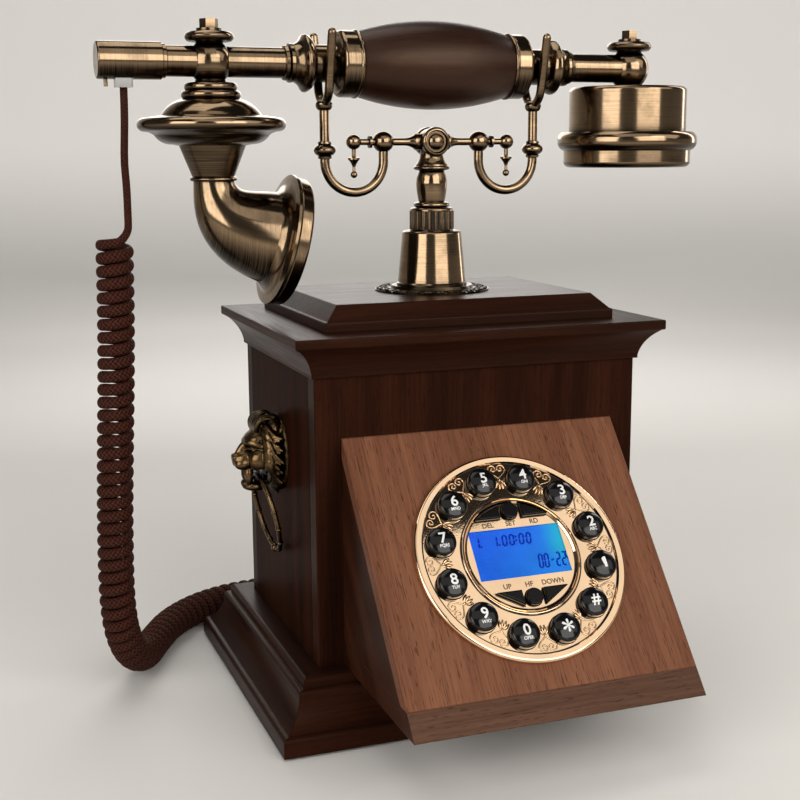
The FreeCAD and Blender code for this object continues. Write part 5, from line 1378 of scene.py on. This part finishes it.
# %% A ring with collars
def make_ring_tree():
    inputs = [("Ring Radius", "NodeSocketFloat", 0.0195), ("Wire Radius", "NodeSocketFloat", 0.0013),
              ("Collar Radius", "NodeSocketFloat", 0.0018), ("Collars", "NodeSocketInt", 14),
              ("Finish", "NodeSocketMaterial", None)]
    outputs = [("Ring", "NodeSocketGeometry")]
    tree, given, result = open_group("collared_ring", "GeometryNodeTree", inputs, outputs)
    circle = {"Resolution": 72, "Radius": given["Ring Radius"]}
    path = node(tree, "GeometryNodeCurvePrimitiveCircle", circle).outputs[0]
    outline = {"Resolution": 10, "Radius": given["Wire Radius"]}
    section = node(tree, "GeometryNodeCurvePrimitiveCircle", outline).outputs[0]
    wire = node(tree, "GeometryNodeCurveToMesh", {"Curve": path, "Profile Curve": section}).outputs[0]
    along = {"Curve": path, "Count": given["Collars"]}
    stops = node(tree, "GeometryNodeCurveToPoints", along, mode="COUNT")
    ball = {"Segments": 14, "Rings": 8, "Radius": given["Collar Radius"]}
    bead = node(tree, "GeometryNodeMeshUVSphere", ball).outputs[0]
    flat = node(tree, "GeometryNodeTransform", {"Geometry": bead, "Scale": (1.0, 1.0, 0.55)}).outputs[0]

    def compare(operation, first, second):
        return node(tree, "FunctionNodeCompare", {0: first, 1: second}, operation=operation).outputs[0]

    index = node(tree, "GeometryNodeInputIndex").outputs[0]
    last = math_node(tree, "SUBTRACT", given["Collars"], 1.0)
    off_mouth = {0: compare("GREATER_THAN", index, 1.0), 1: compare("LESS_THAN", index, last)}
    chosen = node(tree, "FunctionNodeBooleanMath", off_mouth, operation="AND").outputs[0]
    copies = {"Points": stops.outputs[0], "Instance": flat, "Selection": chosen,
              "Rotation": stops.outputs["Rotation"]}
    collars = node(tree, "GeometryNodeInstanceOnPoints", copies).outputs[0]
    both = node(tree, "GeometryNodeJoinGeometry")
    tree.links.new(wire, both.inputs[0])
    tree.links.new(collars, both.inputs[0])
    real = node(tree, "GeometryNodeRealizeInstances", {0: both.outputs[0]}).outputs[0]
    finish = node(tree, "GeometryNodeSetMaterial", {"Geometry": real, "Material": given["Finish"]})
    tree.links.new(finish.outputs[0], result.inputs[0])
    return tree


RING_TREE = make_ring_tree()
print("tree:", RING_TREE.name)

# %% Hang the rings
RING_RADIUS, RING_LEAN, COLLARS = 19.5, math.radians(12.3), 14
HINGE_OUT, HINGE_HEIGHT, KNOT_RADIUS = 91.6, 110.0, 2.2


def hang_ring(node_name, side):
    seed = add_object(node_name + "_seed", bpy.data.meshes.new("seed"))
    ring = settle(seed, RING_TREE, node_name.replace("_ring", "_pull_ring"), Ring_Radius=RING_RADIUS * MM,
                  Wire_Radius=1.2 * MM, Collar_Radius=1.65 * MM, Collars=COLLARS, Finish=cast_bronze)
    down = Vector((-side * math.sin(RING_LEAN), 0, -math.cos(RING_LEAN)))
    hinge = Vector((side * HINGE_OUT, 0, HINGE_HEIGHT))
    knot = bmesh.new()
    knot.from_mesh(ring.data)
    bmesh.ops.create_uvsphere(knot, u_segments=18, v_segments=12, radius=KNOT_RADIUS * MM,
                              matrix=Matrix.Translation((-RING_RADIUS * MM, 0, 0)))
    knot.to_mesh(ring.data)
    knot.free()
    ring.data.materials.clear()
    ring.data.materials.append(cast_bronze)
    ring.data.polygons.foreach_set("material_index", [0] * len(ring.data.polygons))
    middle = (hinge + down * RING_RADIUS) * MM
    out_of_plane = down.cross(Vector((0, 1, 0)))
    turn_to = Matrix((-down, Vector((0, 1, 0)), -out_of_plane)).transposed().to_4x4()
    ring.data.transform(Matrix.Translation(middle) @ turn_to)
    seat(ring, node_name)
    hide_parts(node_name)
    print(ring.name, len(ring.data.polygons), "faces, middle", [round(v, 4) for v in middle])


hang_ring("left_ring", -1)
hang_ring("right_ring", 1)
